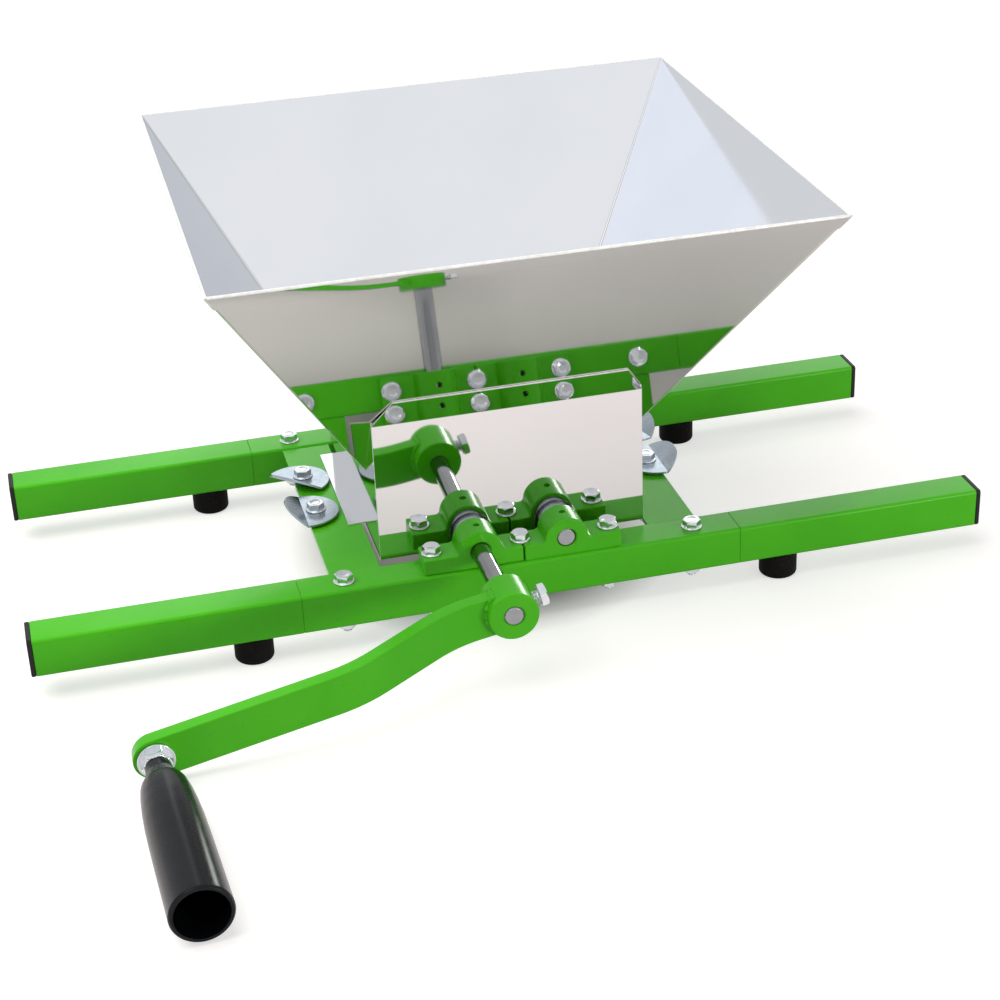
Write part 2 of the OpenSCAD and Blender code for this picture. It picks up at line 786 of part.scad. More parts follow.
module bush_pair() {
    round_bush(-block_back - recess_depth + end_play, -gear_reach);
    round_bush(hex_rear, block_back + recess_depth - end_play);
}

// crank: drawn along +X from the shaft and turned to its resting place
module crank_place() {
    translate([-axle_x, 0, shaft_z]) rotate([0, 180 - crank_rest, 0]) children();
}

// the spindle axis leaves the bar square to its outer face
module spindle_place() {
    crank_place() translate([crank_length, -grip_reach, 0]) rotate([90, 0, -bar_splay]) children();
}

module crank_arm_shape() {
    difference() {
        union() {
            rod_y(hub_d * half, -crank_front_reach, -hub_back);
            intersection() {
                linear_extrude(bar_width, center = true)
                    polygon(strip(bent(bar_line, bend_run, bend_steps), -bar_half, bar_half));
                between_y(-2 * grip_reach, 0) {
                    translate([0, -bar_width * half]) square([crank_length, bar_width]);
                    translate([crank_length, 0]) circle(d = bar_width);
                }
            }
        }
        rod_y(bore_r, -crank_front_reach - overrun, -hub_back + overrun);
        translate([0, -crank_front_reach, 0]) rotate([-90, 0, 0]) countersink();
        translate([0, -crank_front_reach + hub_length * half, 0]) rotate([0, -90, 0])
            cylinder(d = set_bolt_d + running_play, h = hub_d);
        translate([crank_length, -grip_reach, 0]) rotate([90, 0, -bar_splay])
            cylinder(d = spindle_d + running_play, h = 2 * bar_thickness, center = true);
    }
}

module set_bolt_shape() {
    seat = hub_d * half + set_bolt_gap;
    tip = shaft_r - dimple_depth;
    rotate([0, -90, 0]) {
        translate([0, 0, seat]) hex_head(set_bolt_flats, set_bolt_head, set_bolt_flats * 0.95,
            set_bolt_head * 0.1, head_chamfer);
        translate([0, 0, tip]) cylinder(d = set_bolt_d, h = seat - tip + overrun);
    }
}

module spindle_shape() {
    head_seat = grip_start + grip_neck + end_play;
    translate([0, 0, -bar_half - spindle_flange * half])
        cylinder(d = spindle_d, h = bar_half + spindle_flange * half + head_seat + overrun);
    translate([0, 0, head_seat])
        hex_head(spindle_flats, spindle_head, spindle_flats, spindle_head * 0.1, head_chamfer);
}

module spindle_nut_shape() {
    difference() {
        translate([0, 0, bar_half])
            hex_head(spindle_flats, spindle_nut, spindle_flange_d, spindle_flange, head_chamfer);
        cylinder(r = spindle_d * half + running_play, h = bar_half + spindle_nut + overrun);
    }
}

module grip_shape() {
    difference() {
        translate([0, 0, grip_start]) rotate_extrude()
            polygon(concat([[0, 0]], [for (i = [0 : len(grip_length_shares) - 1])
                [grip_radius_shares[i] * grip_r, grip_length_shares[i] * grip_length]],
                [[0, grip_length]]));
        cylinder(r = spindle_d * half + running_play, h = grip_end);
        translate([0, 0, grip_start + grip_neck]) cylinder(
            r1 = spindle_flats * 0.62, r2 = grip_bore_d * half, h = grip_length * 0.3);
        translate([0, 0, grip_start + grip_neck + grip_length * 0.3])
            cylinder(d = grip_bore_d, h = grip_length);
    }
}

// one module for each piece
module front_rail() color("limegreen") placed() rail(-1);
module rear_rail() color("limegreen") placed() rail(1);
module base_plate_left() color("limegreen") placed() base_plate(-1);
module base_plate_right() color("limegreen") placed() base_plate(1);
module arm_front_left() color("limegreen") placed() arm(-1, -1);
module arm_front_right() color("limegreen") placed() arm(1, -1);
module arm_rear_left() color("limegreen") placed() arm(-1, 1);
module arm_rear_right() color("limegreen") placed() arm(1, 1);
module arm_end_caps() color("dimgray") placed() for (i = [-1, 1], j = [-1, 1]) arm_cap(i, j);
module rubber_feet() color("dimgray") placed() foot_spots() foot();
module foot_screws() color("silver") placed() foot_spots() foot_screw();
module arm_bolts() color("silver") placed() arm_bolt_spots()
    translate([0, 0, rail_top]) frame_bolt(tube_size + nut_height + nut_collar + bolt_tail);
module arm_nuts() color("silver") placed() arm_bolt_spots()
    translate([0, 0, foot_height]) frame_nut();
module block_front_left() color("limegreen") placed() block(-1, -1);
module block_front_right() color("limegreen") placed() block(1, -1);
module block_rear_left() color("limegreen") placed() block(-1, 1);
module block_rear_right() color("limegreen") placed() block(1, 1);
module block_bolts() color("silver") placed() block_bolt_spots()
    translate([0, 0, rail_top + block_base])
        frame_bolt(block_base + tube_size + nut_height + nut_collar + bolt_tail);
module block_nuts() color("silver") placed() block_bolt_spots()
    translate([0, 0, foot_height]) frame_nut();
module clip_left_front() color("lightgray") placed() clip(-1, clip_front, 0);
module clip_left_rear() color("lightgray") placed() clip(-1, clip_rear, clip_turn_left_rear);
module clip_right_front() color("lightgray") placed() clip(1, clip_front, 0);
module clip_right_rear() color("lightgray") placed() clip(1, clip_rear, clip_turn_right_rear);
module clip_bolts() color("silver") placed() clip_spots() translate([0, 0, clip_z + clip_thickness])
    frame_bolt(clip_thickness + washer_thickness + plate_thickness + nut_height + nut_collar + bolt_tail);
module clip_washers() color("silver") placed() clip_spots()
    translate([0, 0, plate_top]) clip_washer();
module clip_nuts() color("silver") placed() clip_spots()
    translate([0, 0, plate_top - plate_thickness]) frame_nut();
module drive_shaft() color("silver") placed() translate([-axle_x, 0, shaft_z]) difference() {
    shaft_shape(crank_front_reach);
    rotate([0, 180 - crank_rest, 0])
        translate([-shaft_r + dimple_depth, -crank_front_reach + hub_length * half, 0])
            rotate([0, -90, 0]) cylinder(d = set_bolt_d + running_play, h = shaft_r);
}
module driven_shaft() color("silver") placed() translate([axle_x, 0, shaft_z])
    shaft_shape(block_front - shaft_tail);
module drive_gear() color("gray") placed() translate([-axle_x, 0, shaft_z]) gear_shape(0);
module driven_gear() color("gray") placed() translate([axle_x, 0, shaft_z])
    gear_shape(180 + 180 / gear_teeth);
module drive_bushes() color("gainsboro") placed() translate([-axle_x, 0, shaft_z]) bush_pair();
module driven_bushes() color("gainsboro") placed() translate([axle_x, 0, shaft_z]) bush_pair();
module drive_spacers() color("silver") placed() translate([-axle_x, 0, shaft_z])
    spacer_set(cutter_first, cutter_count);
module driven_spacers() color("silver") placed() translate([axle_x, 0, shaft_z])
    spacer_set(cutter_first + half * cutter_pitch, cutter_count - 1);
module crank_arm() color("limegreen") placed() crank_place() crank_arm_shape();
module crank_set_bolt() color("silver") placed() crank_place()
    translate([0, -crank_front_reach + hub_length * half, 0]) set_bolt_shape();
module grip_spindle() color("silver") placed() spindle_place() spindle_shape();
module grip_nut() color("silver") placed() spindle_place() spindle_nut_shape();
module grip() color("dimgray") placed() spindle_place() grip_shape();
module hopper_front_wall() color("silver") placed() front_wall_shape();
module hopper_rear_wall() color("silver") placed() rear_wall_shape();
module hopper_left_side() color("silver") placed() mirror([1, 0, 0]) side_shape();
module hopper_right_side() color("silver") placed() side_shape();
module hopper_left_plate() color("silver") placed() mirror([1, 0, 0]) neck_plate_shape();
module hopper_right_plate() color("silver") placed() neck_plate_shape();
module hopper_front_panel() color("silver") placed() panel_shape();
module hopper_rear_panel() color("silver") placed() rear_panel_shape();

front_rail();
rear_rail();
base_plate_left();
base_plate_right();
arm_front_left();
arm_front_right();
arm_rear_left();
arm_rear_right();
arm_end_caps();
rubber_feet();
foot_screws();
arm_bolts();
arm_nuts();
block_front_left();
block_front_right();
block_rear_left();
block_rear_right();
block_bolts();
block_nuts();
clip_left_front();
clip_left_rear();
clip_right_front();
clip_right_rear();
clip_bolts();
clip_washers();
clip_nuts();
drive_shaft();
driven_shaft();
drive_gear();
driven_gear();
drive_bushes();
driven_bushes();
drive_spacers();
driven_spacers();
drive_cutter(0);  // drive_cutter_1
drive_cutter(1);  // drive_cutter_2
drive_cutter(2);  // drive_cutter_3
drive_cutter(3);  // drive_cutter_4
drive_cutter(4);  // drive_cutter_5
drive_cutter(5);  // drive_cutter_6
drive_cutter(6);  // drive_cutter_7
driven_cutter(0);  // driven_cutter_1
driven_cutter(1);  // driven_cutter_2
driven_cutter(2);  // driven_cutter_3
driven_cutter(3);  // driven_cutter_4
driven_cutter(4);  // driven_cutter_5
driven_cutter(5);  // driven_cutter_6
crank_arm();
crank_set_bolt();
grip_spindle();
grip_nut();
grip();
hopper_front_wall();
hopper_rear_wall();
hopper_left_side();
hopper_right_side();
hopper_left_plate();
hopper_right_plate();
hopper_front_panel();
hopper_rear_panel();
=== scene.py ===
"""Looks of a hand cranked apple scratter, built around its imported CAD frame.

Metres, +Z up, the crank towards -Y. Every piece stands where its CAD node stands.
"""

import math

import bmesh
import bpy
from bpy.props import FloatProperty, FloatVectorProperty, IntProperty, PointerProperty
from mathutils import Matrix, Vector


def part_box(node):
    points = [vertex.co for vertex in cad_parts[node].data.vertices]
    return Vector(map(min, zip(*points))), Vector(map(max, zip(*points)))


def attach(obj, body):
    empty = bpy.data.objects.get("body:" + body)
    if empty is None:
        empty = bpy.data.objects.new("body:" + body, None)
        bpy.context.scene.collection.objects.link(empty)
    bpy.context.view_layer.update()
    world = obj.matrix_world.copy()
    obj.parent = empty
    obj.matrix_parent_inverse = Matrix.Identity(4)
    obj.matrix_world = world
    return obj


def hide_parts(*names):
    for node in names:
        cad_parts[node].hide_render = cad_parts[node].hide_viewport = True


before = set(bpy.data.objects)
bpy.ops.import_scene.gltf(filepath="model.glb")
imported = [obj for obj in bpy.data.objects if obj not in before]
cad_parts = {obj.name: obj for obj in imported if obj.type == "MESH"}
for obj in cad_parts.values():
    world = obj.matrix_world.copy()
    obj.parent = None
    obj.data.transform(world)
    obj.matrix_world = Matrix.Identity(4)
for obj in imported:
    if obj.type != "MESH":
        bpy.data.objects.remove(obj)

bl_info = {
    "name": "Apple scratter",
    "version": (1, 0, 0),
    "blender": (4, 5, 0),
    "location": "View3D > Sidebar > Scratter",
    "description": "Finishes the pieces of a hand cranked apple scratter",
    "category": "Object",
}

MM = 0.001
MERGE_DISTANCE = 0.002 * MM
FLAT_ANGLE = math.radians(0.4)
SEED = 7


def linear(code):
    """Linear RGB of an sRGB hex colour."""
    shares = [int(code[i : i + 2], 16) / 255 for i in (1, 3, 5)]
    return tuple(
        s / 12.92 if s <= 0.04045 else ((s + 0.055) / 1.055) ** 2.4 for s in shares
    )


def opaque(colour):
    """A colour with full cover, from its hex code or from its linear RGB."""
    return (*(linear(colour) if isinstance(colour, str) else colour), 1.0)


def scaled(colour, share):
    return tuple(c * share for c in colour)


# ---------------------------------------------------------------- sizes and colours


def length(name, text, mm):
    """A length in millimetres, or a point where there are three of them."""
    shared = {"name": name, "description": text, "unit": "LENGTH"}
    if isinstance(mm, tuple):
        return FloatVectorProperty(default=scaled(mm, MM), subtype="XYZ", size=3, **shared)
    return FloatProperty(default=mm * MM, subtype="DISTANCE", **shared)


def angle(name, text, degrees):
    shared = {"name": name, "description": text, "unit": "ROTATION"}
    return FloatProperty(default=math.radians(degrees), subtype="ANGLE", **shared)


def light(name, text, value):
    return FloatProperty(name=name, description=text, default=value, min=0)


def colour(name, text, code):
    shared = {"name": name, "description": text, "min": 0, "max": 1}
    return FloatVectorProperty(default=linear(code), subtype="COLOR", size=3, **shared)


class ScratterEdges(bpy.types.PropertyGroup):
    """How far the edges of the pieces are broken."""

    tube: length("Tube edge", "Rounding of the cut edges of the painted tube", 0.5)
    casting: length("Block edge", "Rounding of the edges of the blocks and the crank", 0.8)
    sheet: length("Sheet edge", "Rounding of the edges of the hopper sheets", 0.2)
    turned: length("Turned edge", "Rounding of the edges of turned and cut steel", 0.25)
    moulded: length("Moulded edge", "Rounding of the edges of the end caps", 0.8)
    smallest_loop: FloatProperty(
        name="Smallest broken loop",
        description="Edge loops smaller than this many widths, such as bores, stay sharp",
        default=30,
        min=1,
    )


class ScratterFasteners(bpy.types.PropertyGroup):
    """Sizes of the bolts and nuts that the CAD model leaves plain."""

    frame_flats: length("Frame bolt flats", "Width across flats of the frame's bolts and nuts", 10)
    frame_head: length("Frame bolt head", "Height of a frame bolt head with its flange", 5.2)
    frame_flange: length("Frame bolt flange", "Diameter of the flange of a frame bolt head", 13)
    frame_flange_height: length("Flange height", "Height of the flange of a frame bolt head", 1.2)
    frame_shank: length("Frame bolt shank", "Diameter of the frame bolts", 6)
    frame_thread: length("Frame bolt thread", "Length of the thread of the frame bolts", 12)
    pitch: length("Thread pitch", "Distance from one thread turn to the next", 1)
    set_flats: length("Set bolt flats", "Width across flats of the set bolt of the crank", 13)
    set_head: length("Set bolt head", "Height of the head of the set bolt", 5.3)
    set_shank: length("Set bolt shank", "Diameter of the set bolt", 8)
    set_seat: length("Set bolt seat", "From the axis of the crank to the underside of the head", 17.5)
    set_tip: length("Set bolt tip", "From the axis of the crank to the tip of the set bolt", 5.6)
    seed: IntProperty(
        name="Turn seed",
        description="Seed of the angle at which each bolt ended up tightened",
        default=SEED,
        min=0,
    )


class ScratterSeams(bpy.types.PropertyGroup):
    """The weld of the crank, and the seams and hems of the hopper."""

    bead: length("Weld bead", "Radius of the weld bead round the foot of the crank bar", 2)
    ripple: length("Weld ripple", "Distance from one ripple of the weld to the next", 1.8)
    hub: length("Hub radius", "Radius of the hub of the crank", 15)
    bar: length("Crank bar", "Width, thickness and how far it sits behind the set bolt", (25, 9, -1.5))
    corner: length("Corner seam", "Radius of the ground weld in the corners of the hopper", 1)
    rim: length("Rim", "Half width, half depth and height of the rim", (180, 168, 260))
    neck: length("Neck", "Half width, front reach and height of the neck", (84, 52, 88))
    neck_rear: length("Neck rear", "Rear reach of the neck of the hopper", 85)
    hem: length("Hem", "Height of the hem below the rim, with a little to spare", 12)
    sheet: length("Sheet thickness", "Thickness of the hopper sheets", 1)


class ScratterColours(bpy.types.PropertyGroup):
    """Colours of the finishes."""

    paint: colour("Green paint", "Colour of the powder coat", "#4BBB14")
    paint_thin: colour("Thin green paint", "Colour of the powder coat where it is thin", "#45B311")
    steel: colour("Sheet steel", "Colour of the bright stainless sheet", "#D4D3D2")
    zinc: colour("Zinc plate", "Colour of the zinc on bolts and nuts", "#D6DBDF")


class ScratterStage(bpy.types.PropertyGroup):
    """Floor, light and camera."""

    azimuth: angle("Azimuth", "Turn of the camera round the part", 13.13)
    elevation: angle("Elevation", "Height of the camera above the horizon", 27.56)
    roll: angle("Roll", "Turn of the camera about its own axis", -2.5)
    distance: length("Distance", "From the camera to the point it looks at", 1393.6)
    target: length("Target", "Point that the camera looks at", (10.4, 90.017, 30.4))
    lens: FloatProperty(
        name="Lens", description="Focal length of the camera in millimetres", default=76.66, min=1
    )
    floor: length("Floor", "Width of the floor", 9000)
    sky: light("Sky light", "Strength of the even light from all round", 0.28)
    top_power: light("Top light", "Watts of the large soft light above", 49)
    fill_power: light("Fill light", "Watts of the soft light in front that metal doesn't mirror", 2.5)
    card_power: light("Front card", "Watts of the pale card that the front walls mirror", 3.5)
    rear_power: light("Rear card", "Watts of the card behind that upward edges mirror", 6)
    window_power: light("Window light", "Watts of the light that the hopper's inside mirrors", 4.4)
    streak_power: light("Streak light", "Watts of the low light that draws streaks on hubs", 15)
    floor_glow: light("Floor glow", "Light added to the floor for the camera, to turn it white", 0.6)
    far_glow: light("Far glow", "The same where the floor runs beyond the lamps", 1.2)


# ---------------------------------------------------------------- nodes


def put(tree, kind, fixed=None, fed=None):
    """Adds a node to a tree, with its settings, and fills or joins its inputs."""
    made = tree.nodes.new(kind)
    for key, value in (fixed or {}).items():
        setattr(made, key, value)
    for key, value in (fed or {}).items():
        if isinstance(value, bpy.types.NodeSocket):
            tree.links.new(value, made.inputs[key])
        else:
            made.inputs[key].default_value = value
    return made


def maths(tree, operation, first, second):
    return put(tree, "ShaderNodeMath", {"operation": operation}, {0: first, 1: second}).outputs[0]


def ramp(tree, value, low, high, start=0.0, end=1.0):
    """Carries a value from one range into another and holds it at the ends."""
    fed = {"Value": value, "From Min": low, "From Max": high, "To Min": start, "To Max": end}
    return put(tree, "ShaderNodeMapRange", fed=fed).outputs["Result"]


def mixed(tree, share, first, second):
    """A colour between two others."""
    fed = {0: share, 6: first, 7: second}
    return put(tree, "ShaderNodeMix", {"data_type": "RGBA"}, fed).outputs[2]


def per_metre(size_mm):
    """Texture scale at which one feature is about this many millimetres across."""
    return 1 / (size_mm * MM)


def noise(tree, place, size_mm, detail):
    fed = {"Vector": place, "Scale": per_metre(size_mm), "Detail": detail}
    return put(tree, "ShaderNodeTexNoise", fed=fed).outputs["Fac"]


def bumped(tree, height, distance, normal=None):
    """The normal of a surface with a relief, on top of another relief or on none."""
    fed = {"Height": height, "Distance": distance, "Strength": 1.0}
    if normal:
        fed["Normal"] = normal
    return put(tree, "ShaderNodeBump", fed=fed).outputs["Normal"]


def blank(owner):
    """The emptied node tree of a material or a world."""
    owner.use_nodes = True
    owner.node_tree.nodes.clear()
    return owner.node_tree


# ---------------------------------------------------------------- materials

# the wave texture turns by 20 radians per unit
RING = 2 * math.pi / 20


def finish(
    name,
    colours,
    patch_mm,
    roughness,
    grain_mm,
    grain_depth_mm,
    fixed,
    stretch=(1, 1, 1),
    speck=None,
    lathe=None,
    lean=0.0,
):
    """A surface of one substance: two shades in patches, a range of roughness and a grain.

    speck is (size in mm, colour, share) for flecks that lie on top, lathe is
    (axis point, pitch in mm, depth in mm) for the rings of a turned end, and lean is
    how far the sheet was pressed out of true, as a slope.
    """
    made = bpy.data.materials.new(name)
    tree = blank(made)
    place = put(tree, "ShaderNodeTexCoord").outputs["Object"]
    along = put(tree, "ShaderNodeMapping", fed={"Vector": place, "Scale": stretch}).outputs[0]
    patches = ramp(tree, noise(tree, place, patch_mm, 4.0), 0.35, 0.65)
    shade = mixed(tree, patches, opaque(colours[0]), opaque(colours[1]))
    if speck:
        size, code, share = speck
        fed = {"Vector": place, "Scale": per_metre(size), "Randomness": 1.0}
        cells = put(tree, "ShaderNodeTexVoronoi", fed=fed).outputs["Color"]
        chance = put(tree, "ShaderNodeSeparateColor", fed={"Color": cells}).outputs[0]
        hit = maths(tree, "LESS_THAN", chance, share)
        shade = mixed(tree, hit, shade, opaque(code))
    grain = noise(tree, along, grain_mm, 3.0)
    dull = ramp(tree, grain, 0.3, 0.7, *roughness)
    relief = bumped(tree, grain, grain_depth_mm * MM)
    if lathe:
        axis, pitch, depth = lathe
        centred = put(tree, "ShaderNodeMapping", fed={"Vector": place, "Location": -axis})
        rings = put(
            tree,
            "ShaderNodeTexWave",
            {"wave_type": "RINGS", "rings_direction": "Y"},
            {"Vector": centred.outputs[0], "Scale": RING * per_metre(pitch), "Distortion": 0.4},
        ).outputs["Fac"]
        relief = bumped(tree, rings, depth * MM, relief)
    if lean:
        height = put(tree, "ShaderNodeSeparateXYZ", fed={"Vector": place}).outputs["Z"]
        relief = bumped(tree, maths(tree, "MULTIPLY", height, -lean), 1.0, relief)
    fed = {"Base Color": shade, "Roughness": dull, "Normal": relief, **fixed}
    skin = put(tree, "ShaderNodeBsdfPrincipled", fed=fed).outputs["BSDF"]
    put(tree, "ShaderNodeOutputMaterial", fed={"Surface": skin})
    return made


def make_finishes():
    """Every finish of the machine, by name."""
    tint = bpy.context.scene.scratter_colours
    metal = {"Metallic": 1.0}
    lengthwise = (0.3, 4, 0.3)

    def rolled(name, lean=0.0):
        shades = (tint.steel, scaled(tint.steel, 0.975))
        return finish(
            f"bright_{name}_stainless", shades, 90, (0.025, 0.05), 80, 0.012, metal, lean=lean
        )

    def shaft(side):
        return finish(
            f"ground_{side}_shaft_steel", ("#9C9FA2", "#919497"), 20, (0.08, 0.13), 2.5, 0.002,
            metal, stretch=lengthwise, lathe=(axis_of(f"{side}_shaft"), 0.6, 0.05),
        )

    made = (
        # powder coat baked on steel: one even saturated colour under a hard gloss that
        # shows sharp lights, with the faint orange peel of the melted powder
        finish(
            "green_powder_coat", (tint.paint, tint.paint_thin), 60, (0.2, 0.27), 2.2, 0.006,
            {"Specular IOR Level": 0.14, "Coat Weight": 0.08, "Coat Roughness": 0.04},
            speck=(0.8, "#45A51C", 0.003),
        ),
        # stainless sheet left bright from the rolls: sharp reflections, a little grey,
        # bent a little where the sheet waves
        rolled("rolled"),
        # the same sheet where the press left the wall of the hopper out of true
        rolled("pressed", 0.03),
        # the hem folded down outside the rim, turned a little further
        rolled("hemmed", 0.04),
        # the same sheet on the front panel, which leans a little
        rolled("leaning", -0.034),
        # and on its flange, bent a little further
        rolled("bent", 0.045),
        # where the sheet was sheared and deburred, with fine scratches; its near-white, part-matt
        # colour is a painted highlight, lighter than the sheet itself, so that every edge draws a white
        # line
        finish(
            "sheared_edge_painted_highlight", ("#F1F1EE", "#E2E2DF"), 3, (0.4, 0.55), 0.4, 0.01,
            {"Metallic": 0.35},
        ),
        # the same sheet inside the hopper, wiped dull: reflections with soft edges
        finish(
            "rubbed_stainless", ("#D2D4D9", "#CED1D6"), 120, (0.07, 0.1), 60, 0.02,
            {"Metallic": 1.0, "Specular Tint": opaque((0.76, 0.78, 0.8))},
        ),
        # electroplated zinc on cold formed bolts: bluish, bright, finely pitted
        finish(
            "bright_zinc_plate", (tint.zinc, scaled(tint.zinc, 0.92)), 4, (0.1, 0.2), 0.7, 0.004,
            metal,
        ),
        # zinc on stamped sheet: soft sheen with cloudy patches
        finish("zinc_plated_sheet", ("#A1ACB5", "#96A2AC"), 10, (0.2, 0.3), 3, 0.002, metal),
        # shafts ground between centres: a clean mirror along their length, with the rings
        # of the facing tool on their ends, drawn 0.6 mm apart to show
        shaft("drive"),
        shaft("driven"),
        # gears cut from bar: darker, with oil in the tool marks
        finish("machined_gear_steel", ("#8B8A87", "#6E6D6A"), 6, (0.28, 0.42), 0.8, 0.02, metal),
        # cutters lasered from stainless plate: satin faces
        finish("laser_cut_stainless", ("#C2C4C6", "#ABADB0"), 12, (0.22, 0.34), 1.0, 0.01, metal),
        # turned nylon: milky blue grey, with a soft sheen
        finish(
            "turned_nylon", ("#E9EEFC", "#DDE4F6"), 6, (0.34, 0.46), 1.5, 0.012,
            {
                "IOR": 1.53,
                "Subsurface Weight": 0.25,
                "Subsurface Radius": (0.004, 0.004, 0.005),
            },
            stretch=lengthwise,
        ),
        # moulded polypropylene: near black with a smooth gloss and a fine spark grain
        finish(
            "moulded_black_plastic", ("#0B0E13", "#090B0F"), 25, (0.2, 0.28), 0.9, 0.004,
            {"Specular IOR Level": 0.18},
        ),
        # cap plastic: darker and duller than the grip
        finish(
            "moulded_cap_plastic", ("#141517", "#0E0F11"), 10, (0.4, 0.52), 0.8, 0.01,
            {"Specular IOR Level": 0.25},
        ),
        # vulcanised rubber: matt black with a little dust
        finish(
            "vulcanised_rubber", ("#090807", "#0D0C0A"), 5, (0.62, 0.8), 0.6, 0.02,
            {"Specular IOR Level": 0.1}, speck=(0.9, "#1E1C19", 0.02),
        ),
    )
    return {material.name: material for material in made}


FINISHES = {}


def give(piece, *names):
    """Puts finishes on a piece, in order of their slots."""
    piece.data.materials.clear()
    for name in names:
        piece.data.materials.append(FINISHES[name])


# ---------------------------------------------------------------- meshes


def settle(piece, body, slot, *nodes):
    """Hangs a piece under the empty of the body that carries it and hides the nodes it stands for."""
    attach(piece, body)
    if nodes:
        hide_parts(*nodes)
    return piece


def new_piece(name, mesh):
    mesh.name = name
    piece = bpy.data.objects.new(name, mesh)
    bpy.context.scene.collection.objects.link(piece)
    return piece


def drawn(points, edges=(), faces=()):
    """A mesh of the given points, edges and faces."""
    mesh = bpy.data.meshes.new("drawn")
    mesh.from_pydata([tuple(p) for p in points], list(edges), list(faces))
    return mesh


def smooth_by_angle(mesh, degrees):
    """Smooth shading with hard edges where the surface turns by more than an angle."""
    mesh.polygons.foreach_set("use_smooth", [True] * len(mesh.polygons))
    mesh.set_sharp_from_angle(angle=math.radians(degrees))


def merge(whole):
    bmesh.ops.remove_doubles(whole, verts=whole.verts, dist=MERGE_DISTANCE)


def merged(nodes):
    """CAD nodes in one edit mesh, with the corners that coincide made one."""
    whole = bmesh.new()
    for node in nodes:
        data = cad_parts[node].data
        corners = [whole.verts.new(v.co) for v in data.vertices]
        for p in data.polygons:
            whole.faces.new([corners[i] for i in p.vertices])
    merge(whole)
    return whole


def kept(whole, mesh):
    """Writes an edit mesh back and lets it go."""
    whole.to_mesh(mesh)
    whole.free()
    return mesh


def copied(nodes):
    """One merged mesh of CAD nodes, with the flat faces in one piece."""
    whole = merged(nodes)
    bmesh.ops.dissolve_limit(
        whole,
        angle_limit=FLAT_ANGLE,
        use_dissolve_boundaries=False,
        verts=whole.verts,
        edges=whole.edges,
        delimit={"NORMAL"},
    )
    return kept(whole, bpy.data.meshes.new("copy"))


def groups(left, beside):
    """Splits a set into the groups whose members lie beside one another."""
    while left:
        group = [left.pop()]
        for member in group:
            for other in beside(member):
                if other in left:
                    left.remove(other)
                    group.append(other)
        yield group


def box_of(spots):
    """Lowest and highest corner round some points."""
    return tuple(Vector([pick(p[i] for p in spots) for i in range(3)]) for pick in (min, max))


def broken_edges(piece, width, degrees):
    """Rounds the outward edges of a piece with a live bevel that keeps its faces flat.

    Bores and oil holes stay sharp, because a bevel there would cross itself.
    """
    whole = bmesh.new()
    whole.from_mesh(piece.data)
    weight = whole.edges.layers.float.new("bevel_weight_edge")
    limit = math.radians(degrees)
    smallest = bpy.context.scene.scratter_edges.smallest_loop * width
    outward = {e for e in whole.edges if e.is_manifold and e.calc_face_angle_signed() > limit}
    for loop in groups(outward, lambda edge: [e for v in edge.verts for e in v.link_edges]):
        lo, hi = box_of([v.co for edge in loop for v in edge.verts])
        if (hi - lo).length > smallest:
            for edge in loop:
                edge[weight] = 1.0
    kept(whole, piece.data)
    bevel = piece.modifiers.new("Broken edges", "BEVEL")
    bevel.width = width
    bevel.segments = 2
    bevel.limit_method = "WEIGHT"
    bevel.use_clamp_overlap = False
    bevel.harden_normals = True


def finished(name, nodes, look, slot, body, width, degrees=25):
    """A piece made of merged copies of CAD nodes with broken edges."""
    piece = new_piece(name, copied(nodes))
    smooth_by_angle(piece.data, degrees)
    give(piece, look)
    broken_edges(piece, width, degrees)
    return settle(piece, body, slot, *nodes)


def middle_of(node):
    lo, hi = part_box(node)
    return (Vector(lo) + Vector(hi)) / 2


def axis_of(node):
    """The point at the height of the axis of a shaft that lies along Y."""
    middle = middle_of(node)
    return Vector((middle.x, 0, middle.z))


def middle_depth():
    """How far back the middle of the frame lies."""
    return (middle_of("front_rail").y + middle_of("rear_rail").y) / 2


def islands(node):
    """Boxes of the separate solids in a CAD node, as (lowest corner, highest corner)."""
    whole = merged([node])
    solids = groups(set(whole.verts), lambda v: [e.other_vert(v) for e in v.link_edges])
    boxes = [box_of([v.co for v in solid]) for solid in solids]
    whole.free()
    return boxes


def skin_of(rings, closed):
    """A mesh through rings of equal count, with its ends closed by a face or left open."""
    count = len(rings[0])
    faces = []
    for start in range(0, (len(rings) - 1) * count, count):
        for k in range(count):
            after = (k + 1) % count
            faces.append((start + k, start + after, start + count + after, start + count + k))
    if closed:
        faces.append(tuple(range(count - 1, -1, -1)))
        faces.append(tuple((len(rings) - 1) * count + k for k in range(count)))
    mesh = drawn([p for ring in rings for p in ring], faces=faces)
    whole = bmesh.new()
    whole.from_mesh(mesh)
    merge(whole)
    bmesh.ops.recalc_face_normals(whole, faces=whole.faces)
    return kept(whole, mesh)


HEAD_SIDES = 60
CHAMFER_SLOPE = math.tan(math.radians(30))
# sizes of a hexagon head as shares of its width across flats: the turned top, the rim
# and the floor of its dish, and the middle of the floor
TURNED, DISH_RIM, DISH_FLOOR, DISH_MIDDLE = 0.47, 0.33, 0.27, 0.1
DISH_DEPTH = 0.3 * MM


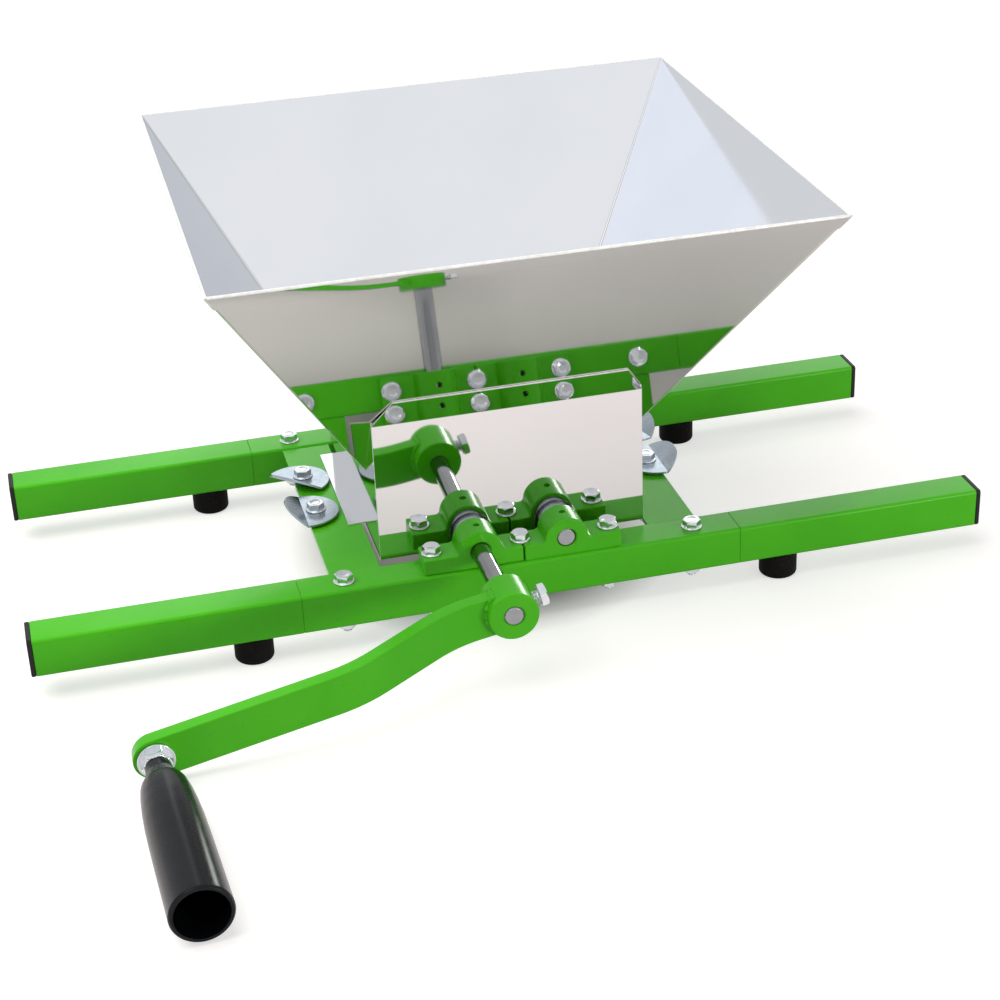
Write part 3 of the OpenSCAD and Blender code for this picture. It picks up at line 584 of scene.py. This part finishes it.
def hex_head(flats, height, flange_d, flange_height, bore_r=0.0):
    """A hexagon head with its flange and the turned chamfer on its corners, seat at zero.

    A nut has a bore; a bolt head has a shallow dish on top.
    """
    turned = flats * TURNED
    flange_r = flange_d / 2

    def side(a):
        sixth = math.pi / 3
        return flats / 2 / math.cos((a + sixth / 2) % sixth - sixth / 2)

    def foot(a):
        return min(side(a), flange_r - 0.05 * MM)

    def shoulder(a):
        return height - (side(a) - turned) * CHAMFER_SLOPE

    def at(measure, a):
        return measure(a) if callable(measure) else measure

    profile = [
        (flange_r - 0.3 * MM, 0.0),
        (flange_r, 0.25 * MM),
        (flange_r, flange_height * 0.6),
        (flange_r - 0.25 * MM, flange_height * 0.85),
        (foot, flange_height + 0.1 * MM),
        (side, flange_height + 0.45 * MM),
        (side, shoulder),
        (turned, height),
    ]
    if bore_r:
        profile += [(bore_r + 0.5 * MM, height), (bore_r, height - 0.4 * MM), (bore_r, 0.0)]
        profile.append(profile[0])
    else:
        profile.append((flats * DISH_RIM, height))
        profile += [(flats * share, height - DISH_DEPTH) for share in (DISH_FLOOR, DISH_MIDDLE)]
    turns = [2 * math.pi * k / HEAD_SIDES for k in range(HEAD_SIDES)]
    rings = [
        [(at(r, a) * math.cos(a), at(r, a) * math.sin(a), at(z, a)) for a in turns]
        for r, z in profile
    ]
    mesh = skin_of(rings, not bore_r)
    smooth_by_angle(mesh, 28)
    return mesh


# ---------------------------------------------------------------- geometry nodes


def new_tree(name, inputs):
    """An empty geometry tree with named inputs and one geometry output."""
    tree = bpy.data.node_groups.new(name, "GeometryNodeTree")
    inputs = {"Geometry": ("Geometry", None), **inputs, "Finish": ("Material", None)}
    for label, (kind, default) in inputs.items():
        socket = tree.interface.new_socket(
            label, in_out="INPUT", socket_type=f"NodeSocket{kind}"
        )
        if default is not None:
            socket.default_value = default
    tree.interface.new_socket("Geometry", in_out="OUTPUT", socket_type="NodeSocketGeometry")
    return tree, put(tree, "NodeGroupInput").outputs


def close(tree, geometry, look, smooth=False):
    """Ends a tree: real geometry in one finish."""
    made = put(tree, "GeometryNodeRealizeInstances", fed={"Geometry": geometry}).outputs[0]
    if smooth:
        made = put(tree, "GeometryNodeSetShadeSmooth", fed={"Geometry": made}).outputs[0]
    fed = {"Geometry": made, "Material": look}
    made = put(tree, "GeometryNodeSetMaterial", fed=fed).outputs[0]
    put(tree, "NodeGroupOutput", fed={"Geometry": made})
    return tree


def swept(tree, line, sides, radius):
    """A round rod along a curve."""
    fed = {"Resolution": sides, "Radius": radius}
    profile = put(tree, "GeometryNodeCurvePrimitiveCircle", fed=fed).outputs["Curve"]
    fed = {"Curve": line, "Profile Curve": profile, "Fill Caps": True}
    return put(tree, "GeometryNodeCurveToMesh", fed=fed).outputs["Mesh"]


def thread_tree():
    """Adds a shank with a wound thread under a bolt head whose seat is at zero."""
    tree, given = new_tree(
        "Threaded shank",
        {
            "Shank radius": ("Float", 3 * MM),
            "Shank length": ("Float", 30 * MM),
            "Thread length": ("Float", 12 * MM),
            "Thread pitch": ("Float", 1 * MM),
        },
    )

    def lowered(part, depth):
        drop = maths(tree, "MULTIPLY", depth, -1.0)
        down = put(tree, "ShaderNodeCombineXYZ", fed={"Z": drop}).outputs[0]
        fed = {"Geometry": part, "Translation": down}
        return put(tree, "GeometryNodeTransform", fed=fed).outputs["Geometry"]

    turns = maths(tree, "DIVIDE", given["Thread length"], given["Thread pitch"])
    ridge = maths(tree, "MULTIPLY", given["Thread pitch"], 0.42)
    core = maths(tree, "SUBTRACT", given["Shank radius"], ridge)
    winding = put(
        tree,
        "GeometryNodeCurveSpiral",
        fed={
            "Resolution": 20,
            "Rotations": turns,
            "Start Radius": core,
            "End Radius": core,
            "Height": given["Thread length"],
        },
    ).outputs["Curve"]
    thread = swept(tree, winding, 4, ridge)
    fed = {"Vertices": 32, "Radius": core, "Depth": given["Shank length"]}
    shank = put(tree, "GeometryNodeMeshCylinder", fed=fed).outputs["Mesh"]
    half = maths(tree, "MULTIPLY", given["Shank length"], 0.5)
    joined = put(tree, "GeometryNodeJoinGeometry")
    for part in (given["Geometry"], lowered(thread, given["Shank length"]), lowered(shank, half)):
        tree.links.new(part, joined.inputs["Geometry"])
    return close(tree, joined.outputs[0], given["Finish"])


def chance_of(tree, fed):
    """A number drawn for each copy; 2 is its lowest value, 3 its highest."""
    return put(tree, "FunctionNodeRandomValue", {"data_type": "FLOAT"}, fed).outputs[1]


def strewn(tree, points, pattern, **how):
    """Copies of a pattern on points."""
    fed = {"Points": points, "Instance": pattern, **how}
    return put(tree, "GeometryNodeInstanceOnPoints", fed=fed).outputs["Instances"]


def row_tree():
    """One fastener on each point, each tightened to an angle of its own."""
    tree, given = new_tree(
        "Fastener rows",
        {
            "Pattern": ("Object", None),
            "Tilt": ("Float", 0.0),
            "Largest turn": ("Float", math.pi),
            "Seed": ("Int", SEED),
        },
    )
    pattern = put(tree, "GeometryNodeObjectInfo", fed={"Object": given["Pattern"]})
    chance = chance_of(tree, {3: given["Largest turn"], "Seed": given["Seed"]})
    turn = put(tree, "ShaderNodeCombineXYZ", fed={"X": given["Tilt"], "Z": chance}).outputs[0]
    rows = strewn(tree, given["Geometry"], pattern.outputs["Geometry"], Rotation=turn)
    return close(tree, rows, given["Finish"])


def weld_tree():
    """A weld bead along a line: one overlapping ripple after another, each a little different."""
    tree, given = new_tree(
        "Weld bead",
        {
            "Bead radius": ("Float", 1.6 * MM),
            "Ripple step": ("Float", 1.1 * MM),
            "Seed": ("Int", SEED),
        },
    )
    line = put(tree, "GeometryNodeMeshToCurve", fed={"Mesh": given["Geometry"]}).outputs[0]
    fed = {"Curve": line, "Length": given["Ripple step"]}
    steps = put(tree, "GeometryNodeResampleCurve", {"mode": "LENGTH"}, fed).outputs[0]
    fed = {"Radius": given["Bead radius"], "Subdivisions": 3}
    ripple = put(tree, "GeometryNodeMeshIcoSphere", fed=fed).outputs["Mesh"]
    chance = chance_of(tree, {2: 0.75, 3: 1.15, "Seed": given["Seed"]})
    fed = {"X": chance, "Y": chance, "Z": chance}
    scale = put(tree, "ShaderNodeCombineXYZ", fed=fed).outputs[0]
    return close(tree, strewn(tree, steps, ripple, Scale=scale), given["Finish"], smooth=True)


def seam_tree():
    """A round bead of even thickness along lines."""
    tree, given = new_tree("Ground seam", {"Radius": ("Float", 1 * MM)})
    line = put(tree, "GeometryNodeMeshToCurve", fed={"Mesh": given["Geometry"]}).outputs[0]
    bead = swept(tree, line, 16, given["Radius"])
    return close(tree, bead, given["Finish"], smooth=True)


TREES = {}


def grown(name, mesh, tree, look, values):
    """Runs a tree on a mesh and returns the result as a plain mesh object."""
    seedling = new_piece("seedling", mesh)
    modifier = seedling.modifiers.new("Grown", "NODES")
    modifier.node_group = TREES[tree]
    sockets = {
        item.name: item.identifier
        for item in modifier.node_group.interface.items_tree
        if item.item_type == "SOCKET" and item.in_out == "INPUT"
    }
    for label, value in {**values, "Finish": FINISHES[look]}.items():
        modifier[sockets[label]] = value
    bpy.context.view_layer.update()
    graph = bpy.context.evaluated_depsgraph_get()
    made = bpy.data.meshes.new_from_object(
        seedling.evaluated_get(graph), preserve_all_data_layers=True, depsgraph=graph
    )
    bpy.data.objects.remove(seedling)
    return new_piece(name, made)


def threaded(name, head, shank_d, reach, thread, pitch):
    """A bolt: a head mesh with its threaded shank."""
    values = {
        "Shank radius": shank_d / 2,
        "Shank length": reach,
        "Thread length": min(reach, thread),
        "Thread pitch": pitch,
    }
    return grown(name, head, "thread", "bright_zinc_plate", values)


def in_rows(node, spots, pattern, tilt=0.0):
    """Copies of a fastener on spots, in place of a node; the pattern itself is used up."""
    values = {
        "Pattern": pattern,
        "Tilt": tilt,
        "Largest turn": math.pi,
        "Seed": bpy.context.scene.scratter_fasteners.seed,
    }
    made = grown(f"plated_{node}", drawn(spots), "rows", "bright_zinc_plate", values)
    bpy.data.objects.remove(pattern)
    settle(made, "frame", "zinc_plate", node)


# ---------------------------------------------------------------- operators

CORNERS = ("front_left", "front_right", "rear_left", "rear_right")
# seats of plain heads: diameter as a share of the width across flats, and height
NUT_SEAT = (0.96, 0.3 * MM)
SET_BOLT_SEAT = (0.95, 0.5 * MM)


class SCRATTER_OT_frame(bpy.types.Operator):
    """Rails, base plates and arms of the green frame"""

    bl_idname = "scratter.frame"
    bl_label = "Painted frame"

    def execute(self, context):
        width = context.scene.scratter_edges.tube
        arms = [f"arm_{place}" for place in CORNERS]
        for node in ["front_rail", "rear_rail", "base_plate_left", "base_plate_right", *arms]:
            finished(f"painted_{node}", [node], "green_powder_coat", "green_paint", "frame", width)
        return {"FINISHED"}


class SCRATTER_OT_blocks(bpy.types.Operator):
    """Four bearing blocks with their bosses and oil holes"""

    bl_idname = "scratter.blocks"
    bl_label = "Bearing blocks"

    def execute(self, context):
        width = context.scene.scratter_edges.casting
        for node in [f"block_{place}" for place in CORNERS]:
            finished(f"painted_{node}", [node], "green_powder_coat", "green_paint", "frame", width)
        return {"FINISHED"}


class SCRATTER_OT_caps_and_feet(bpy.types.Operator):
    """End caps of the arms and the rubber feet with their screws"""

    bl_idname = "scratter.caps_and_feet"
    bl_label = "Caps and feet"

    def execute(self, context):
        edges = context.scene.scratter_edges
        for name, node, look, slot, width in (
            ("moulded_arm_caps", "arm_end_caps", "moulded_cap_plastic", "black_plastic", edges.moulded),
            ("moulded_feet", "rubber_feet", "vulcanised_rubber", "black_rubber", edges.tube),
            ("plated_foot_screws", "foot_screws", "bright_zinc_plate", "zinc_plate", edges.turned),
        ):
            finished(name, [node], look, slot, "frame", width)
        return {"FINISHED"}


class SCRATTER_OT_fasteners(bpy.types.Operator):
    """Flange bolts and nuts of the frame, with chamfered heads and real threads"""

    bl_idname = "scratter.fasteners"
    bl_label = "Bolts and nuts"

    def execute(self, context):
        size = context.scene.scratter_fasteners
        width = context.scene.scratter_edges.turned
        flats = size.frame_flats
        for kind in ("arm", "block", "clip"):
            bolts = islands(f"{kind}_bolts")
            lo, hi = bolts[0]
            bolt = threaded(
                "pattern",
                hex_head(flats, size.frame_head, size.frame_flange, size.frame_flange_height),
                size.frame_shank,
                hi.z - lo.z - size.frame_head,
                size.frame_thread,
                size.pitch,
            )
            in_rows(f"{kind}_bolts", self.tops(bolts, size.frame_head), bolt)
            nuts = islands(f"{kind}_nuts")
            lo, hi = nuts[0]
            share, seat = NUT_SEAT
            nut = hex_head(flats, hi.z - lo.z, flats * share, seat, size.frame_shank / 2)
            in_rows(f"{kind}_nuts", self.tops(nuts, 0), new_piece("pattern", nut), tilt=math.pi)
        finished(
            "plated_clip_washers", ["clip_washers"], "bright_zinc_plate", "zinc_plate", "frame", width
        )
        return {"FINISHED"}

    def tops(self, boxes, drop):
        """Points on the vertical middle line of each box, a drop below its top."""
        return [((lo + hi) / 2).xy.to_3d() + Vector((0, 0, hi.z - drop)) for lo, hi in boxes]


class SCRATTER_OT_clips(bpy.types.Operator):
    """The four swivel clips that hold the tabs of the hopper"""

    bl_idname = "scratter.clips"
    bl_label = "Swivel clips"

    def execute(self, context):
        width = context.scene.scratter_edges.turned
        for node in ("clip_left_front", "clip_left_rear", "clip_right_front", "clip_right_rear"):
            finished(
                f"plated_{node}", [node], "zinc_plated_sheet", "satin_steel", f"{node}_body", width
            )
        return {"FINISHED"}


class SCRATTER_OT_shafts(bpy.types.Operator):
    """The two shafts with their bushes, gears, spacers and hooked cutters"""

    bl_idname = "scratter.shafts"
    bl_label = "Shafts and cutters"

    def execute(self, context):
        width = context.scene.scratter_edges.turned
        for side, body, count in (("drive", "crank_drive", 7), ("driven", "driven_shaft_set", 6)):
            pieces = [
                ("ground", "shaft", f"ground_{side}_shaft_steel", "shaft_steel"),
                ("machined", "gear", "machined_gear_steel", "gear_steel"),
                ("turned", "bushes", "turned_nylon", "white_nylon"),
                ("turned", "spacers", "laser_cut_stainless", "satin_steel"),
            ]
            for i in range(1, count + 1):
                pieces.append(("lasered", f"cutter_{i}", "laser_cut_stainless", "cutter_steel"))
            for made, part, look, slot in pieces:
                node = f"{side}_{part}"
                finished(f"{made}_{node}", [node], look, slot, body, width)
        return {"FINISHED"}


def crank_lean():
    """The direction in which the bar of the crank leaves its hub."""
    return (axis_of("drive_shaft") - axis_of("crank_set_bolt")).normalized()


class SCRATTER_OT_crank(bpy.types.Operator):
    """The crank with its set bolt and the spindle of the grip"""

    bl_idname = "scratter.crank"
    bl_label = "Crank"

    def execute(self, context):
        edges = context.scene.scratter_edges
        size = context.scene.scratter_fasteners
        body = "crank_drive"
        arm = ("painted_crank_arm", ["crank_arm"], "green_powder_coat", "green_paint")
        finished(*arm, body, edges.casting)
        shank = size.set_seat - size.set_tip
        share, seat_height = SET_BOLT_SEAT
        head = hex_head(size.set_flats, size.set_head, size.set_flats * share, seat_height)
        bolt = threaded("plated_set_bolt", head, size.set_shank, shank, shank, size.pitch * 1.25)
        outward = -crank_lean()
        seat = axis_of("drive_shaft") + outward * size.set_seat
        seat.y = middle_of("crank_set_bolt").y
        turn = outward.to_track_quat("Z", "Y").to_matrix().to_4x4()
        bolt.data.transform(Matrix.Translation(seat) @ turn)
        settle(bolt, body, "zinc_plate", "crank_set_bolt")
        for node, width in (("grip_spindle", edges.turned), ("grip_nut", edges.tube)):
            finished(f"plated_{node}", [node], "bright_zinc_plate", "zinc_plate", body, width)
        return {"FINISHED"}


class SCRATTER_OT_grip(bpy.types.Operator):
    """The hollow black grip that turns on its spindle"""

    bl_idname = "scratter.grip"
    bl_label = "Grip"

    def execute(self, context):
        width = context.scene.scratter_edges.turned
        look = "moulded_black_plastic"
        finished("moulded_grip", ["grip"], look, "black_plastic", "grip_body", width)
        return {"FINISHED"}


# faces of the front panel that lean more than this belong to its flange
FLANGE_SLOPE = 0.3
# a face with less area than this times its outline is the cut edge of a sheet
STRIP = 0.7 * MM


def around(mesh, face):
    """Length of the outline of a face."""
    spots = [mesh.vertices[i].co for i in face.vertices]
    return sum((a - b).length for a, b in zip(spots, spots[1:] + spots[:1]))


class SCRATTER_OT_hopper(bpy.types.Operator):
    """The folded sheets of the hopper, bright outside and rubbed inside"""

    bl_idname = "scratter.hopper"
    bl_label = "Hopper"

    def execute(self, context):
        width = context.scene.scratter_edges.sheet
        lo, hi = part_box("hopper_rear_wall")
        front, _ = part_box("hopper_front_wall")
        middle = Vector(((lo.x + hi.x) / 2, (front.y + hi.y) / 2, hi.z))
        hem_foot = hi.z - context.scene.scratter_seams.hem
        plain = ("bright_rolled_stainless", "rubbed_stainless")
        for node, (outer, inner) in {
            "front_wall": ("bright_pressed_stainless", "rubbed_stainless"),
            "rear_wall": plain,
            "left_side": plain,
            "right_side": plain,
            "left_plate": plain,
            "right_plate": plain,
            "front_panel": ("bright_leaning_stainless", "bright_bent_stainless"),
            "rear_panel": plain,
        }.items():
            nodes = [f"hopper_{node}"]
            piece = finished(
                f"folded_{node}", nodes, outer, "polished_steel", "hopper", width, degrees=12
            )
            give(piece, outer, inner, "sheared_edge_painted_highlight", "bright_hemmed_stainless")
            for face in piece.data.polygons:
                # thin faces are the cut edges, which get the near-white finish that paints their
                # highlight
                if face.area < STRIP * around(piece.data, face):
                    face.material_index = 2
                elif node == "front_panel":
                    face.material_index = int(abs(face.normal.z) > FLANGE_SLOPE)
                elif min(piece.data.vertices[i].co.z for i in face.vertices) > hem_foot:
                    face.material_index = 3
                else:
                    face.material_index = int(face.normal.dot(middle - face.center) > 0)
        return {"FINISHED"}


# points along each long side of the foot of the crank bar
FOOT_STEPS = 14


class SCRATTER_OT_seams(bpy.types.Operator):
    """The weld round the foot of the crank bar and the ground welds in the hopper corners"""

    bl_idname = "scratter.seams"
    bl_label = "Welded seams"

    def execute(self, context):
        size = context.scene.scratter_seams
        ring = self.bar_foot(size)
        weld = grown(
            "painted_crank_weld",
            drawn(ring, [(k, (k + 1) % len(ring)) for k in range(len(ring))]),
            "weld",
            "green_powder_coat",
            {"Bead radius": size.bead, "Ripple step": size.ripple, "Seed": SEED},
        )
        settle(weld, "crank_drive", "green_paint")
        ends = self.corner_ends(size)
        seams = grown(
            "ground_corner_seams",
            drawn(ends, [(k, k + 1) for k in range(0, len(ends), 2)]),
            "seam",
            "bright_rolled_stainless",
            {"Radius": size.corner},
        )
        settle(seams, "hopper", "polished_steel")
        return {"FINISHED"}

    def bar_foot(self, size):
        """The closed line along which the crank bar meets its round hub."""
        width, thickness, behind = size.bar
        along = crank_lean()
        across = along.cross(Vector((0, 1, 0)))
        hub = axis_of("drive_shaft")
        hub.y = middle_of("crank_set_bolt").y + behind
        shares = [k / FOOT_STEPS * 2 - 1 for k in range(FOOT_STEPS + 1)]

        def foot(side, share):
            rise = share * width / 2
            out = along * math.sqrt(size.hub**2 - rise**2)
            return hub + out + across * rise + Vector((0, side * thickness / 2, 0))

        return [foot(-1, s) for s in shares] + [foot(1, s) for s in reversed(shares)]

    def corner_ends(self, size):
        """Upper and lower end of the inner edge in each corner of the funnel."""
        middle = middle_depth()
        rim, neck = size.rim, size.neck
        rise = rim.z - neck.z

        def inset(outer, inner):
            """How far the inner face of a leaning wall lies from its outer face, level."""
            return size.sheet * math.hypot(outer - inner, rise) / rise

        ends = []
        for front, reach in ((-1, neck.y), (1, size.neck_rear)):
            x_in, y_in = inset(rim.x, neck.x), inset(rim.y, reach)
            for side in (-1, 1):
                for x, y, z in ((rim.x, rim.y, rim.z - size.corner), (neck.x, reach, neck.z)):
                    ends.append(Vector((side * (x - x_in), middle + front * (y - y_in), z)))
        return ends


def add_lamp(name, place, aim, size, power, mirrored):
    lamp = bpy.data.lights.new(name, "AREA")
    lamp.shape = "RECTANGLE"
    lamp.size, lamp.size_y = size
    lamp.energy = power
    holder = bpy.data.objects.new(name, lamp)
    bpy.context.scene.collection.objects.link(holder)
    holder.visible_camera = False
    holder.visible_glossy = mirrored
    holder.location = place
    holder.rotation_euler = (aim - place).to_track_quat("-Z", "Y").to_euler()


class SCRATTER_OT_stage(bpy.types.Operator):
    """Pale floor, soft light and the camera"""

    bl_idname = "scratter.stage"
    bl_label = "Floor, light and camera"

    def execute(self, context):
        scene = context.scene
        stage = scene.scratter_stage
        scene.view_settings.view_transform = "Standard"
        middle = Vector((0, middle_depth(), 0.15))
        self.sky(scene, stage)
        half = stage.floor / 2
        corners = [(-half, -half, 0), (half, -half, 0), (half, half, 0), (-half, half, 0)]
        floor = new_piece("floor", drawn(corners, faces=[(0, 1, 2, 3)]))
        floor.data.materials.append(self.paper(stage, middle))
        for name, way, far, size, power, mirrored in (
            ("top_light", (-0.45, 0.05, 1), 2.1, (2.2, 2.2), stage.top_power, False),
            ("fill_light", (0.7, -0.8, 0.3), 1.7, (1.6, 1.4), stage.fill_power, False),
            ("front_card", (0.2, -0.88, 0.42), 2.5, (2.6, 2.2), stage.card_power, True),
            ("rear_card", (0.26, 0.86, 0.44), 2.5, (1.8, 1.0), stage.rear_power, True),
            ("window_light", (-0.41, -0.43, 0.805), 2.5, (1.2, 1.2), stage.window_power, True),
            ("streak_light", (0.49, -0.86, 0.04), 2.5, (0.6, 0.4), stage.streak_power, True),
        ):
            place = middle + Vector(way).normalized() * far
            add_lamp(name, place, middle, size, power, mirrored)
        self.camera(scene, stage)
        return {"FINISHED"}

    def sky(self, scene, stage):
        """White to camera, mirror and glass rays, and an even weaker light on things."""
        scene.world = bpy.data.worlds.new("even_sky")
        tree = blank(scene.world)
        path = put(tree, "ShaderNodeLightPath").outputs
        seen = maths(tree, "MAXIMUM", path["Is Camera Ray"], path["Is Glossy Ray"])
        seen = maths(tree, "MAXIMUM", seen, path["Is Transmission Ray"])
        strength = ramp(tree, seen, 0.0, 1.0, stage.sky, 1.0)
        fed = {"Color": opaque("#FFFFFF"), "Strength": strength}
        sky = put(tree, "ShaderNodeBackground", fed=fed).outputs[0]
        put(tree, "ShaderNodeOutputWorld", fed={"Surface": sky})

    def camera(self, scene, stage):
        """The camera of the photo."""
        a, e, r = stage.azimuth, stage.elevation, stage.roll
        back = Vector((-math.sin(a) * math.cos(e), -math.cos(a) * math.cos(e), math.sin(e)))
        level = (-back).cross(Vector((0, 0, 1))).normalized()
        upright = level.cross(-back)
        right = math.cos(r) * level + math.sin(r) * upright
        up = -math.sin(r) * level + math.cos(r) * upright
        lens = bpy.data.cameras.new("camera")
        lens.sensor_fit = "HORIZONTAL"
        lens.sensor_width = 36
        lens.lens = stage.lens
        lens.clip_start = 0.01
        lens.clip_end = 50
        camera = bpy.data.objects.new("camera", lens)
        scene.collection.objects.link(camera)
        turn = Matrix((right, up, back)).transposed().to_4x4()
        place = Vector(stage.target) + back * stage.distance
        camera.matrix_world = Matrix.Translation(place) @ turn
        scene.camera = camera

    def paper(self, stage, middle):
        """Matt paper: it keeps the shadow, turns white to the camera and greyer in metal."""
        made = bpy.data.materials.new("matt_white_paper")
        tree = blank(made)
        place = put(tree, "ShaderNodeTexCoord").outputs["Object"]
        path = put(tree, "ShaderNodeLightPath").outputs
        shade = mixed(tree, noise(tree, place, 3, 2.0), opaque("#C6C1BD"), opaque("#CAC5C1"))
        matt = put(tree, "ShaderNodeBsdfDiffuse", fed={"Color": shade}).outputs[0]
        # none of the glow right below the cutters, where the machine keeps the light off
        reach = put(
            tree,
            "ShaderNodeMapping",
            {"vector_type": "TEXTURE"},
            {"Vector": place, "Location": (0.0, middle.y, 0.0), "Scale": (0.1, 0.1, 1.0)},
        ).outputs["Vector"]
        measure = put(tree, "ShaderNodeVectorMath", {"operation": "LENGTH"}, {0: reach})
        distance = measure.outputs["Value"]
        open_floor = ramp(tree, distance, 0.8, 1.3)
        # seen from the side, the paper mirrors more of the light room
        facing = put(tree, "ShaderNodeLayerWeight", fed={"Blend": 0.5}).outputs["Facing"]
        grazing = ramp(tree, facing, 0.15, 0.5, 0.24, 0.6)
        mirrored = maths(tree, "MULTIPLY", grazing, path["Is Glossy Ray"])
        # the lamps don't reach the far floor, so that it glows more
        far = ramp(tree, distance, 6.0, 16.0, stage.floor_glow, stage.far_glow)
        plain = maths(tree, "MULTIPLY", path["Is Camera Ray"], far)
        glow = maths(tree, "MULTIPLY", maths(tree, "ADD", mirrored, plain), open_floor)
        warm = opaque((1.0, 0.94, 0.97))
        tone = mixed(tree, path["Is Camera Ray"], warm, opaque("#FFFFFF"))
        white = put(tree, "ShaderNodeEmission", fed={"Color": tone, "Strength": glow}).outputs[0]
        both = put(tree, "ShaderNodeAddShader", fed={0: matt, 1: white}).outputs[0]
        put(tree, "ShaderNodeOutputMaterial", fed={"Surface": both})
        return made


STEPS = (
    SCRATTER_OT_frame,
    SCRATTER_OT_blocks,
    SCRATTER_OT_caps_and_feet,
    SCRATTER_OT_fasteners,
    SCRATTER_OT_clips,
    SCRATTER_OT_shafts,
    SCRATTER_OT_crank,
    SCRATTER_OT_grip,
    SCRATTER_OT_hopper,
    SCRATTER_OT_seams,
    SCRATTER_OT_stage,
)
GROUPS = {
    "scratter_edges": ScratterEdges,
    "scratter_fasteners": ScratterFasteners,
    "scratter_seams": ScratterSeams,
    "scratter_colours": ScratterColours,
    "scratter_stage": ScratterStage,
}


class SCRATTER_PT_panel(bpy.types.Panel):
    """Lists the pieces of the scratter"""

    bl_idname = "SCRATTER_PT_panel"
    bl_label = "Apple scratter"
    bl_space_type = "VIEW_3D"
    bl_region_type = "UI"
    bl_category = "Scratter"

    def draw(self, context):
        for step in STEPS:
            self.layout.operator(step.bl_idname)


CLASSES = (*GROUPS.values(), *STEPS, SCRATTER_PT_panel)


def register():
    for kind in CLASSES:
        bpy.utils.register_class(kind)
    for name, group in GROUPS.items():
        setattr(bpy.types.Scene, name, PointerProperty(type=group))


def unregister():
    for name in GROUPS:
        delattr(bpy.types.Scene, name)
    for kind in reversed(CLASSES):
        bpy.utils.unregister_class(kind)


def main():
    register()
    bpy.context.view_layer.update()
    FINISHES.update(make_finishes())
    TREES.update(thread=thread_tree(), rows=row_tree(), weld=weld_tree(), seam=seam_tree())
    for step in STEPS:
        getattr(bpy.ops.scratter, step.bl_idname.split(".")[1])()


if __name__ == "__main__":
    main()
